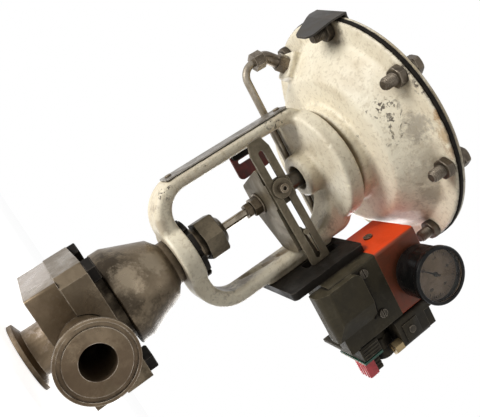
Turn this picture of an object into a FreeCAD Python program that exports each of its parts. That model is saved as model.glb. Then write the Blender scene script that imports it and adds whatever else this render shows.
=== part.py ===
import FreeCAD, Part
import math
import os
from types import SimpleNamespace

import Sketcher

# Pneumatic control valve, air to open, in millimetres. The origin is the centre of
# the inlet ferrule's face. +Z runs along the stem up to the diaphragm actuator, the
# outlet faces -Y and the positioner hangs on the yoke's +X arm.

SIZES = {
    # clearances
    "running_gap": 0.05,
    "static_gap": 0.1,
    "moving_gap": 0.3,
    "screw_end_gap": 1,
    # sanitary clamp ferrules and pipe bore
    "ferrule_radius": 25.25,
    "ferrule_lip": 3.2,
    "ferrule_cone": 2.8,
    "neck_radius": 17.5,
    "bore_radius": 11.05,
    "groove_radius": 21.75,
    "groove_width": 2.8,
    "groove_depth": 1.2,
    "outlet_axis": 38.9,
    "outlet_reach": 87.2,
    # valve body
    "block_half_x": 43,
    "block_half_y": 44.5,
    "block_bottom": 21.2,
    "block_top": 42.6,
    "block_round": 2,
    "hub_radius": 27,
    "hub_top": 57.8,
    "chamber_radius": 17,
    # seat ring and plug
    "seat_bottom": 21,
    "seat_top": 27,
    "seat_outer": 15,
    "seat_bore": 8,
    "seat_bevel": 1,
    "plug_nose": 21.5,
    "plug_nose_radius": 4.5,
    "plug_radius": 10,
    "plug_skirt": 4,
    "plug_shank_radius": 6.5,
    "plug_top": 52,
    "plug_socket": 12,
    # bonnet
    "gasket_thickness": 0.5,
    "gasket_inner": 18,
    "flange_half_x": 44.5,
    "flange_half_y": 45.5,
    "flange_top": 62,
    "flange_chamfer": 7.2,
    "recess_gap": 0.3,
    "bolt_x": 35.5,
    "bolt_y": 36.5,
    "bolt_radius": 5,
    "bolt_hole_gap": 0.4,
    "bolt_depth": 17,
    "bolt_across": 16,
    "bolt_head": 6.4,
    "bolt_turn": 12,
    "undercut_radius": 30,
    "bell_bottom": 69,
    "bell_radius": 36.7,
    "bell_rim_top": 78.5,
    "bell_neck_radius": 24.2,
    "bell_neck": 109,
    "bell_shoulder": 113.5,
    "bonnet_cavity_radius": 14,
    "bonnet_cavity_top": 74,
    "collar_radius": 17.2,
    "yoke_seat": 119.5,
    "thread_radius": 15,
    "thread_top": 140.5,
    "gland_thread_radius": 12,
    "gland_thread_top": 149,
    "packing_radius": 8,
    "packing_bottom": 113,
    "packing_top": 142,
    "follower_top": 151,
    "nut_across": 30,
    "nut_turn": 20,
    "nut_bottom": 144,
    "nut_hex_top": 160,
    "nut_top": 163.5,
    "nut_tip_radius": 9.5,
    # yoke
    "yoke_plate_top": 133.5,
    "yoke_half_width": 54.5,
    "yoke_window_half": 43.7,
    "yoke_half_depth": 14,
    "yoke_corner": 30,
    "yoke_window_corner": 18,
    "yoke_web_corner": 34,
    "yoke_window_drop": 18.5,
    "yoke_boss_radius": 25,
    "yoke_edge": 4.5,
    "yoke_disc_radius": 48,
    "yoke_disc_drop": 18.6,
    "yoke_spigot_height": 5,
    "yoke_top": 270,
    "yoke_spigot_radius": 38,
    "yoke_hub_radius": 17.8,
    "yoke_hub_drop": 32,
    "yoke_hub_blend": 3,
    "yoke_bore_radius": 10,
    "pad_thickness": 2.5,
    "pad_bottom": 172,
    "pad_top": 236,
    "ring_radius": 24,
    "ring_thickness": 4,
    "ring_slots": 8,
    "ring_slot": 5,
    "ring_slot_depth": 3,
    # stem
    "stem_radius": 3.25,
    "stem_grip": 6.5,
    "jam_nut_bottom": 186.5,
    "jam_nut_across": 11,
    "jam_nut_height": 5,
    "jam_nut_turn": 10,
    "lock_nut_turn": 34,
    "lock_nut_gap": 0.5,
    "lock_nut_across": 13,
    "lock_nut_height": 6.5,
    "washer_radius": 8.7,
    "washer_thickness": 1.5,
    "connector_bottom": 200,
    "connector_thickness": 6,
    "connector_reach": 43,
    "connector_front": 25,
    "connector_left": 30,
    "connector_side": 8,
    "connector_slant": 2,
    "connector_back": 15.5,
    "connector_waist": 12,
    "connector_heel": 15,
    "connector_boss_radius": 11,
    "connector_boss_grip": 8.5,
    "lug_height": 20,
    "lug_left": 16,
    "lug_right": 4,
    "lug_depth": 5,
    "actuator_stem_radius": 7,
    "stem_space": 1,
    "actuator_shoulder_radius": 11,
    "actuator_shoulder_height": 5,
    "actuator_thread_end": 2,
    # slotted take-off plate
    "slot_plate_back": 27,
    "slot_plate_thickness": 2,
    "slot_plate_width": 17,
    "slot_plate_x": 8.7,
    "slot_plate_z": 209.7,
    "slot_plate_left": 40.8,
    "slot_plate_right": 65,
    "slot_plate_taper": 9,
    "slot_plate_tilt": 2,
    "slot_left": 31.8,
    "slot_right": 62.3,
    "slot_width": 4.85,
    "clamp_screw_z": 210,
    "clamp_disc_radius": 7.7,
    "clamp_disc_thickness": 2,
    "clamp_head_radius": 3.5,
    "clamp_head_height": 4,
    "clamp_screw_radius": 2,
    # feedback lever
    "pivot_x": 92,
    "pivot_z": 218,
    "pin_x": 30,
    "pin_z": 211,
    "pin_radius": 2.1,
    "pin_end": 31,
    "lever_front": 19.3,
    "lever_thickness": 2.3,
    "lever_width": 6,
    "lever_hub_radius": 7,
    "lever_shaft_radius": 4,
    "lever_shaft_length": 18,
    "bush_wall": 2.5,
    # diaphragm casing
    "casing_radius": 101.7,
    "casing_wall": 2.7,
    "casing_pad_radius": 43.3,
    "casing_pad_height": 9,
    "casing_flare": 21,
    "casing_rim": 15.2,
    "casing_round": 7,
    "casing_depth": 33.2,
    "lower_flange_thickness": 2.8,
    "diaphragm_edge": 3,
    "diaphragm_overhang": 0.5,
    "upper_flange_thickness": 2.8,
    "dome_height": 24.2,
    "dome_shoulder_inset": 0.5,
    "casing_bolts": 8,
    "casing_bolt_edge": 7.4,
    "casing_bolt_angle": 28,
    "casing_bolt_radius": 4.75,
    "casing_nut_across": 14.3,
    "casing_nut_height": 5.7,
    "casing_head_height": 5.5,
    "casing_stud": 16.2,
    "casing_washer": 1.5,
    "bushing_radius": 12,
    "bushing_length": 15,
    "casing_screw_radius": 4,
    "casing_screw_circle": 26,
    "casing_screw_head_radius": 6.5,
    "casing_screw_head": 5,
    "casing_screw_bite": 14,
    "diaphragm_rise": 23.5,
    "plate_margin": 26.5,
    "plate_thickness": 4,
    "plate_rim": 8,
    "stem_nut_across": 22,
    "stem_nut_height": 7,
    "springs": 6,
    "spring_circle": 38,
    "spring_radius": 10.5,
    "spring_wire": 2,
    "spring_turns": 3,
    "vent_radius": 6,
    "vent_cap_radius": 13,
    "vent_cap_height": 8,
    # tag plate
    "tag_left": 21,
    "tag_right": 13,
    "tag_end_left": 4,
    "tag_thickness": 1.5,
    "tag_bend_drop": 11.8,
    "tag_length": 23.5,
    "tag_lean": 3.2,
    "tag_inset": 0.5,
    "tag_shoulder": 5,
    # air line
    "boss_inset": 22.5,
    "boss_rise": 14.6,
    "boss_half": 9,
    "boss_half_length": 11,
    "boss_depth": 9,
    "boss_bore_depth": 18,
    "air_line_y": 21.4,
    "air_line_z": 247.5,
    "elbow_run": 14,
    "elbow_radius": 5.2,
    "elbow_bend": 7,
    "elbow_base": 8,
    "fitting_across": 13,
    "fitting_nut_height": 9,
    "fitting_drop": 25.6,
    "tube_radius": 3.15,
    "tube_wall": 0.9,
    "tube_first_bend": 11,
    "tube_bend": 15,
    "tube_socket": 5,
    "rear_fitting_x": 85,
    "rear_fitting_reach": 14,
    # name strip and travel indicator
    "strip_front": 12.5,
    "strip_back": 6.5,
    "strip_bottom": 142,
    "strip_top": 252,
    "strip_thickness": 1,
    "strip_screw_inset": 5,
    "strip_screw_radius": 1.5,
    "strip_screw_length": 7,
    "strip_head_radius": 2.6,
    "strip_head": 1.4,
    "bracket_left": 53,
    "bracket_right": 35,
    "bracket_bottom": 203,
    "bracket_top": 231,
    "bracket_thickness": 4,
    "bracket_screw_radius": 2,
    "bracket_screw_length": 6,
    "bracket_screw_inset": 6,
    "bracket_screw_head": 2.4,
    "scale_left": 45,
    "scale_right": 18,
    "scale_bottom": 202,
    "scale_top": 232,
    "scale_thickness": 1.5,
    "scale_slot_x": 32,
    "scale_slot_width": 3.2,
    "scale_slot_length": 12,
    "scale_slot_drop": 4,
    "scale_screw_inset": 7,
    # positioner
    "mount_thickness": 6,
    "mount_front": 47,
    "mount_back": 12,
    "mount_bottom": 172,
    "mount_top": 240,
    "mount_round": 4,
    "lever_window_bottom": 200,
    "lever_window_top": 233,
    "lever_window_front": 25,
    "lever_window_back": 13.5,
    "mount_screw_radius": 4,
    "mount_screw_head_radius": 6.5,
    "mount_screw_head": 5,
    "mount_screw_low": 184,
    "mount_screw_high": 226,
    "mount_screw_length": 14,
    "case_right": 118,
    "case_front": 60,
    "housing_back": 8,
    "housing_bottom": 237,
    "housing_top": 277,
    "housing_round": 3,
    "cover_back": 20,
    "cover_bottom": 193,
    "cover_skirt_bottom": 185.5,
    "cover_side_thickness": 2.5,
    "dome_bulge": 5.5,
    "dome_left": 64.5,
    "dome_right": 104,
    "dome_facet": 13,
    "dome_low": 181,
    "dome_high": 218,
    "dome_back": 48,
    "dome_slope": 8,
    "dome_arc": 6,
    "dome_round": 6,
    "cover_screw_left": 70.2,
    "cover_screw_right": 105.4,
    "cover_screw_z": 222.4,
    "cover_screw_radius": 2,
    "cover_head_radius": 3.4,
    "cover_head": 1.8,
    "cover_screw_length": 7,
    "cover_head_slot": 0.8,
    "housing_screw_y": 32,
    "housing_screw_z": 253.8,
    "housing_screw_radius": 2.5,
    "housing_head_radius": 3.6,
    "housing_screw_length": 8,
    "housing_head": 1.6,
    "housing_head_slot": 1,
    "manifold_right": 143,
    "manifold_back": 22,
    "manifold_bottom": 227,
    "manifold_top": 262,
    "manifold_step": 8,
    "manifold_step_depth": 4,
    "brass_x": 138.5,
    "brass_y": 55,
    "brass_across": 9,
    "brass_end": 219,
    "brass_port": 3,
    "brass_thread": 8,
    "brass_bore_depth": 10,
    "terminal_right": 129.5,
    "terminal_bottom": 192,
    "terminal_top": 208.8,
    "terminal_back": 29,
    "board_thickness": 1.8,
    "board_margin": 1,
    "board_back": 26,
    "red_plug_reach": 15,
    "red_plug_bottom": 191.6,
    "red_plug_top": 200.4,
    "red_plug_front": 56.5,
    "red_plug_back": 43,
    "connector_block_reach": 17,
    "connector_block_bottom": 200.8,
    "connector_block_top": 208.4,
    "connector_block_front": 50,
    "connector_block_back": 39.5,
    "connector_block_wall": 2,
    "connector_block_pit": 4,
    "gland_y": 40,
    "gland_z": 218,
    "gland_radius": 8.8,
    "gland_bore": 4,
    "gland_reach": 29,
    # pressure gauge
    "gauge_x": 93,
    "gauge_z": 262,
    "gauge_radius": 20,
    "gauge_stem_radius": 6,
    "gauge_stem_length": 9,
    "gauge_gap": 2.5,
    "gauge_depth": 26,
    "gauge_bezel_width": 1.6,
    "gauge_bezel_depth": 4.5,
    "gauge_pit": 6.5,
    "gauge_wall": 0.8,
    "gauge_lip": 1.1,
    "dial_thickness": 0.6,
    "glass_thickness": 1.5,
    "pointer_length": 13,
    "pointer_tail": 4.5,
    "pointer_tip": 0.25,
    "pointer_root": 0.9,
    "pointer_hub_rise": 0.4,
    "pointer_thickness": 0.6,
    "pointer_hub_radius": 1.8,
    "pointer_rise": 0.3,
    "pointer_angle": 225,
}


class Size:
    """A length with its number and the sheet formula that drives it."""

    def __init__(self, number, text):
        self.number = float(number)
        self.text = text

    def __float__(self):
        return self.number

    def __add__(self, other):
        return combine(self, "+", other, self.number + float(other))

    def __radd__(self, other):
        return combine(other, "+", self, float(other) + self.number)

    def __sub__(self, other):
        return combine(self, "-", other, self.number - float(other))

    def __rsub__(self, other):
        return combine(other, "-", self, float(other) - self.number)

    def __mul__(self, other):
        return combine(self, "*", other, self.number * float(other))

    def __rmul__(self, other):
        return combine(other, "*", self, float(other) * self.number)

    def __truediv__(self, other):
        return combine(self, "/", other, self.number / float(other))

    def __neg__(self):
        return Size(-self.number, f"(0 - {self.text})")


def text_of(value):
    if isinstance(value, Size):
        return value.text
    return f"({value:.10g})"


def combine(left, sign, right, number):
    return Size(number, f"({text_of(left)} {sign} {text_of(right)})")


def cosine(angle):
    return Size(math.cos(math.radians(float(angle))), f"cos({text_of(angle)})")


def sine(angle):
    return Size(math.sin(math.radians(float(angle))), f"sin({text_of(angle)})")


def arctangent(rise, run):
    angle = math.degrees(math.atan2(float(rise), float(run)))
    return Size(angle, f"atan2({text_of(rise)}; {text_of(run)})")


def make_sheet(document):
    """Put every driving size in a cell of its own and hand them back by name."""
    sheet = document.addObject("Spreadsheet::Sheet", "Sizes")
    named = {}
    for row, (alias, number) in enumerate(SIZES.items(), start=1):
        sheet.set(f"A{row}", str(number))
        sheet.setAlias(f"A{row}", alias)
        named[alias] = Size(number, f"Sizes.{alias}")
    document.recompute()
    return SimpleNamespace(**named)


document = FreeCAD.newDocument("ControlValve")
s = make_sheet(document)
pieces = []


def bind(target, prop, value):
    """Drive a property by a formula of the sheet."""
    target.setExpression(prop, text_of(value))


def new_body(label):
    body = document.addObject("PartDesign::Body", label)
    body.Label = label
    body.AllowCompound = True
    pieces.append(body)
    return body


def place(body, x=0, y=0, z=0, axis=None, angle=0):
    """Set the body's place, turned by an angle in degrees about an axis."""
    if axis is not None:
        turn = FreeCAD.Rotation(FreeCAD.Vector(*axis), float(angle))
        body.Placement = FreeCAD.Placement(FreeCAD.Vector(), turn)
        if isinstance(angle, Size):
            bind(body, "Placement.Rotation.Angle", angle)
    bind(body, "Placement.Base.x", x)
    bind(body, "Placement.Base.y", y)
    bind(body, "Placement.Base.z", z)


def origin_feature(body, role):
    for feature in body.Origin.OriginFeatures:
        if feature.Role == role:
            return feature
    raise ValueError(role)


# Sign of each plane's normal along its own axis.
NORMALS = {"XY": 1, "XZ": -1, "YZ": 1}


def new_sketch(body, plane, level=0, shift=0):
    """Sketch on an origin plane moved to a level, its own origin shifted upwards."""
    sketch = body.newObject("Sketcher::SketchObject", f"{body.Name}_sketch")
    sketch.AttachmentSupport = [(origin_feature(body, f"{plane}_Plane"), "")]
    sketch.MapMode = "FlatFace"
    bind(sketch, "AttachmentOffset.Base.y", shift)
    bind(sketch, "AttachmentOffset.Base.z", level * NORMALS[plane])
    return sketch


def fix_point(sketch, geometry, position, x, y):
    """Hold a point at its distances from the sketch's origin."""
    for kind, value, axis in (("DistanceX", x, -2), ("DistanceY", y, -1)):
        if not isinstance(value, Size) and value == 0:
            sketch.addConstraint(Sketcher.Constraint("PointOnObject", geometry, position, axis))
            continue
        rule = Sketcher.Constraint(kind, -1, 1, geometry, position, float(value))
        index = sketch.addConstraint(rule)
        if isinstance(value, Size):
            bind(sketch, f"Constraints[{index}]", value)


def fix_radius(sketch, geometry, radius):
    index = sketch.addConstraint(Sketcher.Constraint("Radius", geometry, float(radius)))
    if isinstance(radius, Size):
        bind(sketch, f"Constraints[{index}]", radius)


def add_circle(sketch, x, y, radius):
    centre = FreeCAD.Vector(float(x), float(y), 0)
    geometry = sketch.addGeometry(Part.Circle(centre, FreeCAD.Vector(0, 0, 1), float(radius)))
    fix_point(sketch, geometry, 3, x, y)
    fix_radius(sketch, geometry, radius)


def rounding(before, corner, after, radius):
    """Points where a rounding of a corner leaves its two lines, and its middle."""
    to_before = (before - corner).normalize()
    to_after = (after - corner).normalize()
    half = to_before.getAngle(to_after) / 2
    reach = radius / math.tan(half)
    middle_line = (to_before + to_after).normalize()
    middle = corner + middle_line * (radius / math.sin(half) - radius)
    return corner + to_before * reach, middle, corner + to_after * reach


def add_outline(sketch, corners):
    """Closed outline through (x, y) corners. A third value rounds that corner."""
    count = len(corners)
    points = [FreeCAD.Vector(float(corner[0]), float(corner[1]), 0) for corner in corners]
    arrivals = list(points)
    middles = list(points)
    leaves = list(points)
    for index, corner in enumerate(corners):
        if len(corner) > 2:
            before = points[index - 1]
            after = points[(index + 1) % count]
            found = rounding(before, points[index], after, float(corner[2]))
            arrivals[index], middles[index], leaves[index] = found
    lines = []
    for index in range(count):
        line = Part.LineSegment(leaves[index], arrivals[(index + 1) % count])
        lines.append(sketch.addGeometry(line))
    for index, corner in enumerate(corners):
        arriving = lines[index - 1]
        leaving = lines[index]
        if len(corner) == 2:
            sketch.addConstraint(Sketcher.Constraint("Coincident", arriving, 2, leaving, 1))
            fix_point(sketch, leaving, 1, corner[0], corner[1])
            continue
        curve = Part.Arc(arrivals[index], middles[index], leaves[index])
        arc = sketch.addGeometry(curve)
        starts_first = sketch.getPoint(arc, 1).distanceToPoint(arrivals[index]) < 1e-6
        first, last = (1, 2) if starts_first else (2, 1)
        sketch.addConstraint(Sketcher.Constraint("Tangent", arriving, 2, arc, first))
        sketch.addConstraint(Sketcher.Constraint("Tangent", leaving, 1, arc, last))
        fix_radius(sketch, arc, corner[2])
        tip = sketch.addGeometry(Part.Point(points[index]), True)
        fix_point(sketch, tip, 1, corner[0], corner[1])
        sketch.addConstraint(Sketcher.Constraint("PointOnObject", tip, 1, arriving))
        sketch.addConstraint(Sketcher.Constraint("PointOnObject", tip, 1, leaving))


def rectangle(left, right, low, high, radius=None):
    corners = [(left, low), (right, low), (right, high), (left, high)]
    if radius is None:
        return corners
    return [corner + (radius,) for corner in corners]


def hexagon(x, y, across, turn=0):
    """Six corners round a centre, the flats at turn + 30 degrees and so on."""
    reach = across / (2 * math.cos(math.radians(30)))
    return [
        (x + reach * cosine(turn + 60 * step), y + reach * sine(turn + 60 * step))
        for step in range(6)
    ]


def fill_sketch(body, plane, level, shift, outlines, circles):
    sketch = new_sketch(body, plane, level, shift)
    for corners in outlines:
        add_outline(sketch, corners)
    for circle in circles:
        add_circle(sketch, *circle)
    return sketch


def pad(body, plane, low, high, outlines=(), circles=(), shift=0):
    """Add material between two levels of a plane's normal."""
    level = low if NORMALS[plane] > 0 else high
    sketch = fill_sketch(body, plane, level, shift, outlines, circles)
    feature = body.newObject("PartDesign::Pad", f"{body.Name}_pad")
    feature.Profile = sketch
    bind(feature, "Length", high - low)
    return feature


def pocket(body, plane, low, high, outlines=(), circles=(), shift=0):
    """Cut material away between two levels of a plane's normal."""
    level = high if NORMALS[plane] > 0 else low
    sketch = fill_sketch(body, plane, level, shift, outlines, circles)
    document.recompute()
    before = body.Shape.Volume
    feature = body.newObject("PartDesign::Pocket", f"{body.Name}_pocket")
    feature.Profile = sketch
    bind(feature, "Length", high - low)
    document.recompute()
    if body.Shape.Volume > before - 1e-6:
        raise ValueError(f"{body.Label}: a pocket cuts nothing")
    return feature


def revolve(body, corners, plane="XZ", axis="V_Axis", shift=0):
    """Turn an outline of (radius, height) corners into a round form."""
    sketch = fill_sketch(body, plane, 0, shift, [corners], ())
    feature = body.newObject("PartDesign::Revolution", f"{body.Name}_turned")
    feature.Profile = sketch
    feature.ReferenceAxis = (sketch, [axis])
    feature.Angle = 360
    return feature


def groove(body, corners, plane="XZ", axis="V_Axis", shift=0):
    """Cut a round form away."""
    sketch = fill_sketch(body, plane, 0, shift, [corners], ())
    document.recompute()
    before = body.Shape.Volume
    feature = body.newObject("PartDesign::Groove", f"{body.Name}_bored")
    feature.Profile = sketch
    feature.ReferenceAxis = (sketch, [axis])
    feature.Angle = 360
    document.recompute()
    if body.Shape.Volume > before - 1e-6:
        raise ValueError(f"{body.Label}: a groove cuts nothing")
    return feature


def ring(inner, outer, low, high):
    """Outline of a plain ring for revolve or groove."""
    return [(inner, low), (outer, low), (outer, high), (inner, high)]


def chosen_edges(body, test):
    names = []
    for number, edge in enumerate(body.Tip.Shape.Edges, start=1):
        if test(edge):
            names.append(f"Edge{number}")
    if not names:
        raise ValueError(f"{body.Label}: no edge to round")
    return names


def round_edges(body, radius, test):
    document.recompute()
    base = (body.Tip, chosen_edges(body, test))
    feature = body.newObject("PartDesign::Fillet", f"{body.Name}_rounded")
    feature.Base = base
    bind(feature, "Radius", radius)
    return feature


def bevel_edges(body, size, test):
    document.recompute()
    base = (body.Tip, chosen_edges(body, test))
    feature = body.newObject("PartDesign::Chamfer", f"{body.Name}_bevel")
    feature.Base = base
    bind(feature, "Size", size)
    return feature


def near(value, level):
    return abs(value - float(level)) < 1e-3


def straight_along(edge, direction):
    """Whether an edge is a straight line along X, Y or Z."""
    if edge.Curve.TypeId != "Part::GeomLine":
        return False
    box = edge.BoundBox
    lengths = {"X": box.XLength, "Y": box.YLength, "Z": box.ZLength}
    return all(lengths[name] < 1e-6 for name in lengths if name != direction)


def flat_at(edge, level):
    """Whether an edge lies in the horizontal plane of a level."""
    return near(edge.BoundBox.ZMin, level) and near(edge.BoundBox.ZMax, level)


def code_piece(label, shape):
    """Piece whose shape is set in code, with its place left at the origin."""
    piece = document.addObject("Part::Feature", label)
    piece.Label = label
    piece.Shape = shape
    piece.Placement = FreeCAD.Placement()
    pieces.append(piece)
    return piece


def four_corners(x, y):
    return [(x, y), (-x, y), (-x, -y), (x, -y)]


# Derived levels that several pieces share.
gasket_top = s.hub_top + s.gasket_thickness
bonnet_hole = s.bolt_radius + s.bolt_hole_gap
ring_top = s.yoke_plate_top + s.ring_thickness
connector_top = s.connector_bottom + s.connector_thickness
stem_end = s.connector_bottom + s.stem_grip
actuator_stem_bottom = stem_end + s.stem_space
connector_boss_top = actuator_stem_bottom + s.connector_boss_grip
slot_plate_front = s.slot_plate_back + s.slot_plate_thickness
yoke_disc_top = s.yoke_top - s.yoke_spigot_height
yoke_window_top = s.yoke_top - s.yoke_window_drop
yoke_hub_bottom = s.yoke_top - s.yoke_hub_drop
casing_floor = s.yoke_top + s.casing_pad_height
casing_shoulder = s.casing_radius - s.casing_rim
casing_floor_radius = casing_shoulder - s.casing_flare
casing_bolt_circle = s.casing_radius - s.casing_bolt_edge
boss_face_x = s.casing_radius - s.boss_inset
diaphragm_plate_radius = casing_shoulder - s.plate_margin
lower_flange_bottom = s.yoke_top + s.casing_depth
lower_flange_top = lower_flange_bottom + s.lower_flange_thickness
casing_slant = s.casing_wall * 4 / 3
diaphragm_bottom = s.yoke_top + s.diaphragm_rise
boss_face_z = s.yoke_top + s.boss_rise
fitting_nut_bottom = boss_face_z - s.fitting_drop
tube_top = fitting_nut_bottom + s.tube_socket
diaphragm_rim_top = lower_flange_top + s.diaphragm_edge
upper_flange_top = diaphragm_rim_top + s.upper_flange_thickness
bolt_head_seat = upper_flange_top + s.casing_washer
diaphragm_top = diaphragm_bottom + s.diaphragm_edge
plate_top = diaphragm_top + s.plate_thickness
dome_top = upper_flange_top + s.dome_height
dome_inner_top = dome_top - s.casing_wall
mount_face = s.yoke_half_width + s.pad_thickness
case_left = mount_face + s.mount_thickness
board_face = s.terminal_right + s.board_thickness
casing_bolt_count = int(float(s.casing_bolts))
casing_bolt_turns = [
    360 / casing_bolt_count * step - s.casing_bolt_angle for step in range(casing_bolt_count)
]
tag_turn = casing_bolt_turns[5]
tag_bend = upper_flange_top - s.tag_bend_drop
tag_end = tag_bend - s.tag_length
casing_hole = s.casing_bolt_radius + s.bolt_hole_gap


def ferrule(reach, root_radius, root):
    """Half outline of a clamp ferrule whose face is reach away from the root."""
    lip = reach - s.ferrule_lip
    return [
        (0, root),
        (root_radius, root),
        (root_radius, lip - s.ferrule_cone),
        (s.ferrule_radius, lip),
        (s.ferrule_radius, reach),
        (0, reach),
    ]


def gasket_groove(reach):
    inner = s.groove_radius - s.groove_width / 2
    return ring(inner, inner + s.groove_width, reach - s.groove_depth, reach)


def swapped(corners):
    """The same outline with its two values swapped, for a lying axis."""
    return [(corner[1], corner[0]) for corner in corners]


def flipped(corners):
    """The same outline upside down."""
    return [(corner[0], -corner[1]) for corner in corners]


def valve_body():
    """Cast body: square block, two clamp ferrules, hub for the bonnet."""
    body = new_body("valve_body")
    revolve(body, flipped(ferrule(0, s.neck_radius, -s.block_bottom - 1)))
    pad(body, "XY", s.block_bottom, s.block_top,
        [rectangle(-s.block_half_x, s.block_half_x, -s.block_half_y, s.block_half_y)])
    round_edges(body, s.block_round, lambda edge: straight_along(edge, "Z"))
    pad(body, "XY", s.block_top, s.hub_top, circles=[(0, 0, s.hub_radius)])
    lying = [(-corner[1], corner[0]) for corner in ferrule(s.outlet_reach, s.neck_radius, 0)]
    revolve(body, lying, "YZ", "H_Axis", s.outlet_axis)
    groove(body, flipped(gasket_groove(0)))
    lying_groove = [(-corner[1], corner[0]) for corner in gasket_groove(s.outlet_reach)]
    groove(body, lying_groove, "YZ", "H_Axis", s.outlet_axis)
    seat_hole = s.seat_outer + s.static_gap
    pocket(body, "XY", 0, s.seat_bottom, circles=[(0, 0, s.bore_radius)])
    pocket(body, "XY", s.seat_bottom, s.seat_top, circles=[(0, 0, seat_hole)])
    pocket(body, "XY", s.seat_top, s.hub_top, circles=[(0, 0, s.chamber_radius)])
    pocket(body, "XZ", -s.outlet_reach, 0,
           circles=[(0, 0, s.bore_radius)], shift=s.outlet_axis)
    bolts = [(x, y, s.bolt_radius) for x, y in four_corners(s.bolt_x, s.bolt_y)]
    pocket(body, "XY", s.block_top - s.bolt_depth - s.screw_end_gap, s.block_top, circles=bolts)


def seat_ring():
    """Turned ring let into the body under the plug, with a bevelled seat."""
    body = new_body("seat_ring")
    revolve(body, [
        (s.seat_bore, s.seat_bottom),
        (s.seat_outer, s.seat_bottom),
        (s.seat_outer, s.seat_top),
        (s.seat_bore + s.seat_bevel, s.seat_top),
        (s.seat_bore, s.seat_top - s.seat_bevel),
    ])


def bonnet_gasket():
    """Flat ring between the body's hub and the bonnet."""
    body = new_body("bonnet_gasket")
    revolve(body, ring(s.gasket_inner, s.hub_radius - 1, s.hub_top, gasket_top))


def bonnet():
    """Cast bonnet: square flange, bell, collar, thread and packing box."""
    body = new_body("bonnet")
    cut = s.flange_chamfer
    x = s.flange_half_x
    y = s.flange_half_y
    pad(body, "XY", s.block_top, s.flange_top, [[
        (-x, cut - y), (cut - x, -y), (x, -y), (x, y), (cut - x, y), (-x, y - cut),
    ]])
    revolve(body, [
        (0, s.flange_top),
        (s.undercut_radius, s.flange_top),
        (s.undercut_radius, s.bell_bottom),
        (s.bell_radius, s.bell_bottom, 1.5),
        (s.bell_radius, s.bell_rim_top),
        (s.bell_neck_radius, s.bell_neck),
        (s.collar_radius + 1, s.bell_shoulder, 2),
        (s.collar_radius, s.bell_shoulder + 1),
        (s.collar_radius, s.yoke_seat),
        (s.thread_radius, s.yoke_seat),
        (s.thread_radius, s.thread_top),
        (s.gland_thread_radius, s.thread_top),
        (s.gland_thread_radius, s.gland_thread_top),
        (0, s.gland_thread_top),
    ])
    recess = s.hub_radius + s.recess_gap
    pocket(body, "XY", s.block_top, gasket_top, circles=[(0, 0, recess)])
    arch = s.neck_radius + s.recess_gap
    pocket(body, "XZ", -y, 0, circles=[(0, 0, arch)], shift=s.outlet_axis)
    stem_hole = s.stem_radius + s.moving_gap
    groove(body, [
        (0, gasket_top),
        (s.bonnet_cavity_radius, gasket_top),
        (s.bonnet_cavity_radius, s.bonnet_cavity_top),
        (stem_hole, s.bonnet_cavity_top + 6),
        (stem_hole, s.packing_bottom),
        (s.packing_radius, s.packing_bottom),
        (s.packing_radius, s.gland_thread_top),
        (0, s.gland_thread_top),
    ])
    holes = [(px, py, bonnet_hole) for px, py in four_corners(s.bolt_x, s.bolt_y)]
    pocket(body, "XY", s.block_top, s.flange_top, circles=holes)


def bonnet_bolts():
    """Four hexagon bolts that clamp the bonnet to the body."""
    body = new_body("bonnet_bolts")
    corners = four_corners(s.bolt_x, s.bolt_y)
    shank = s.bolt_radius - s.static_gap
    pad(body, "XY", s.block_top - s.bolt_depth, s.flange_top,
        circles=[(x, y, shank) for x, y in corners])
    pad(body, "XY", s.flange_top, s.flange_top + s.bolt_head,
        [hexagon(x, y, s.bolt_across, s.bolt_turn) for x, y in corners])
    bevel_edges(body, s.bolt_head / 10, lambda edge: flat_at(edge, s.flange_top + s.bolt_head))


def packing_set():
    """Stack of sealing rings round the stem."""
    body = new_body("packing_set")
    revolve(body, ring(s.stem_radius + s.running_gap, s.packing_radius - s.static_gap,
                       s.packing_bottom, s.packing_top))


def packing_follower():
    """Turned bush that the nut presses on the packing."""
    body = new_body("packing_follower")
    revolve(body, ring(s.stem_radius + s.running_gap, s.packing_radius - s.static_gap,
                       s.packing_top, s.follower_top))


def packing_nut():
    """Large hexagon nut with a turned nose, screwed on the bonnet's top thread."""
    body = new_body("packing_nut")
    pad(body, "XY", s.nut_bottom, s.nut_hex_top, [hexagon(0, 0, s.nut_across, s.nut_turn)])
    bevel_edges(body, s.nut_across / 25, lambda edge: flat_at(edge, s.nut_hex_top))
    shoulder = s.nut_across / 2 - 2
    revolve(body, [
        (0, s.nut_hex_top),
        (shoulder, s.nut_hex_top),
        (s.nut_tip_radius, s.nut_top),
        (0, s.nut_top),
    ])
    thread = s.gland_thread_radius + s.static_gap
    pocket(body, "XY", s.nut_bottom, s.follower_top, circles=[(0, 0, thread)])
    stem_hole = s.stem_radius + s.moving_gap
    pocket(body, "XY", s.follower_top, s.nut_top, circles=[(0, 0, stem_hole)])


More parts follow.
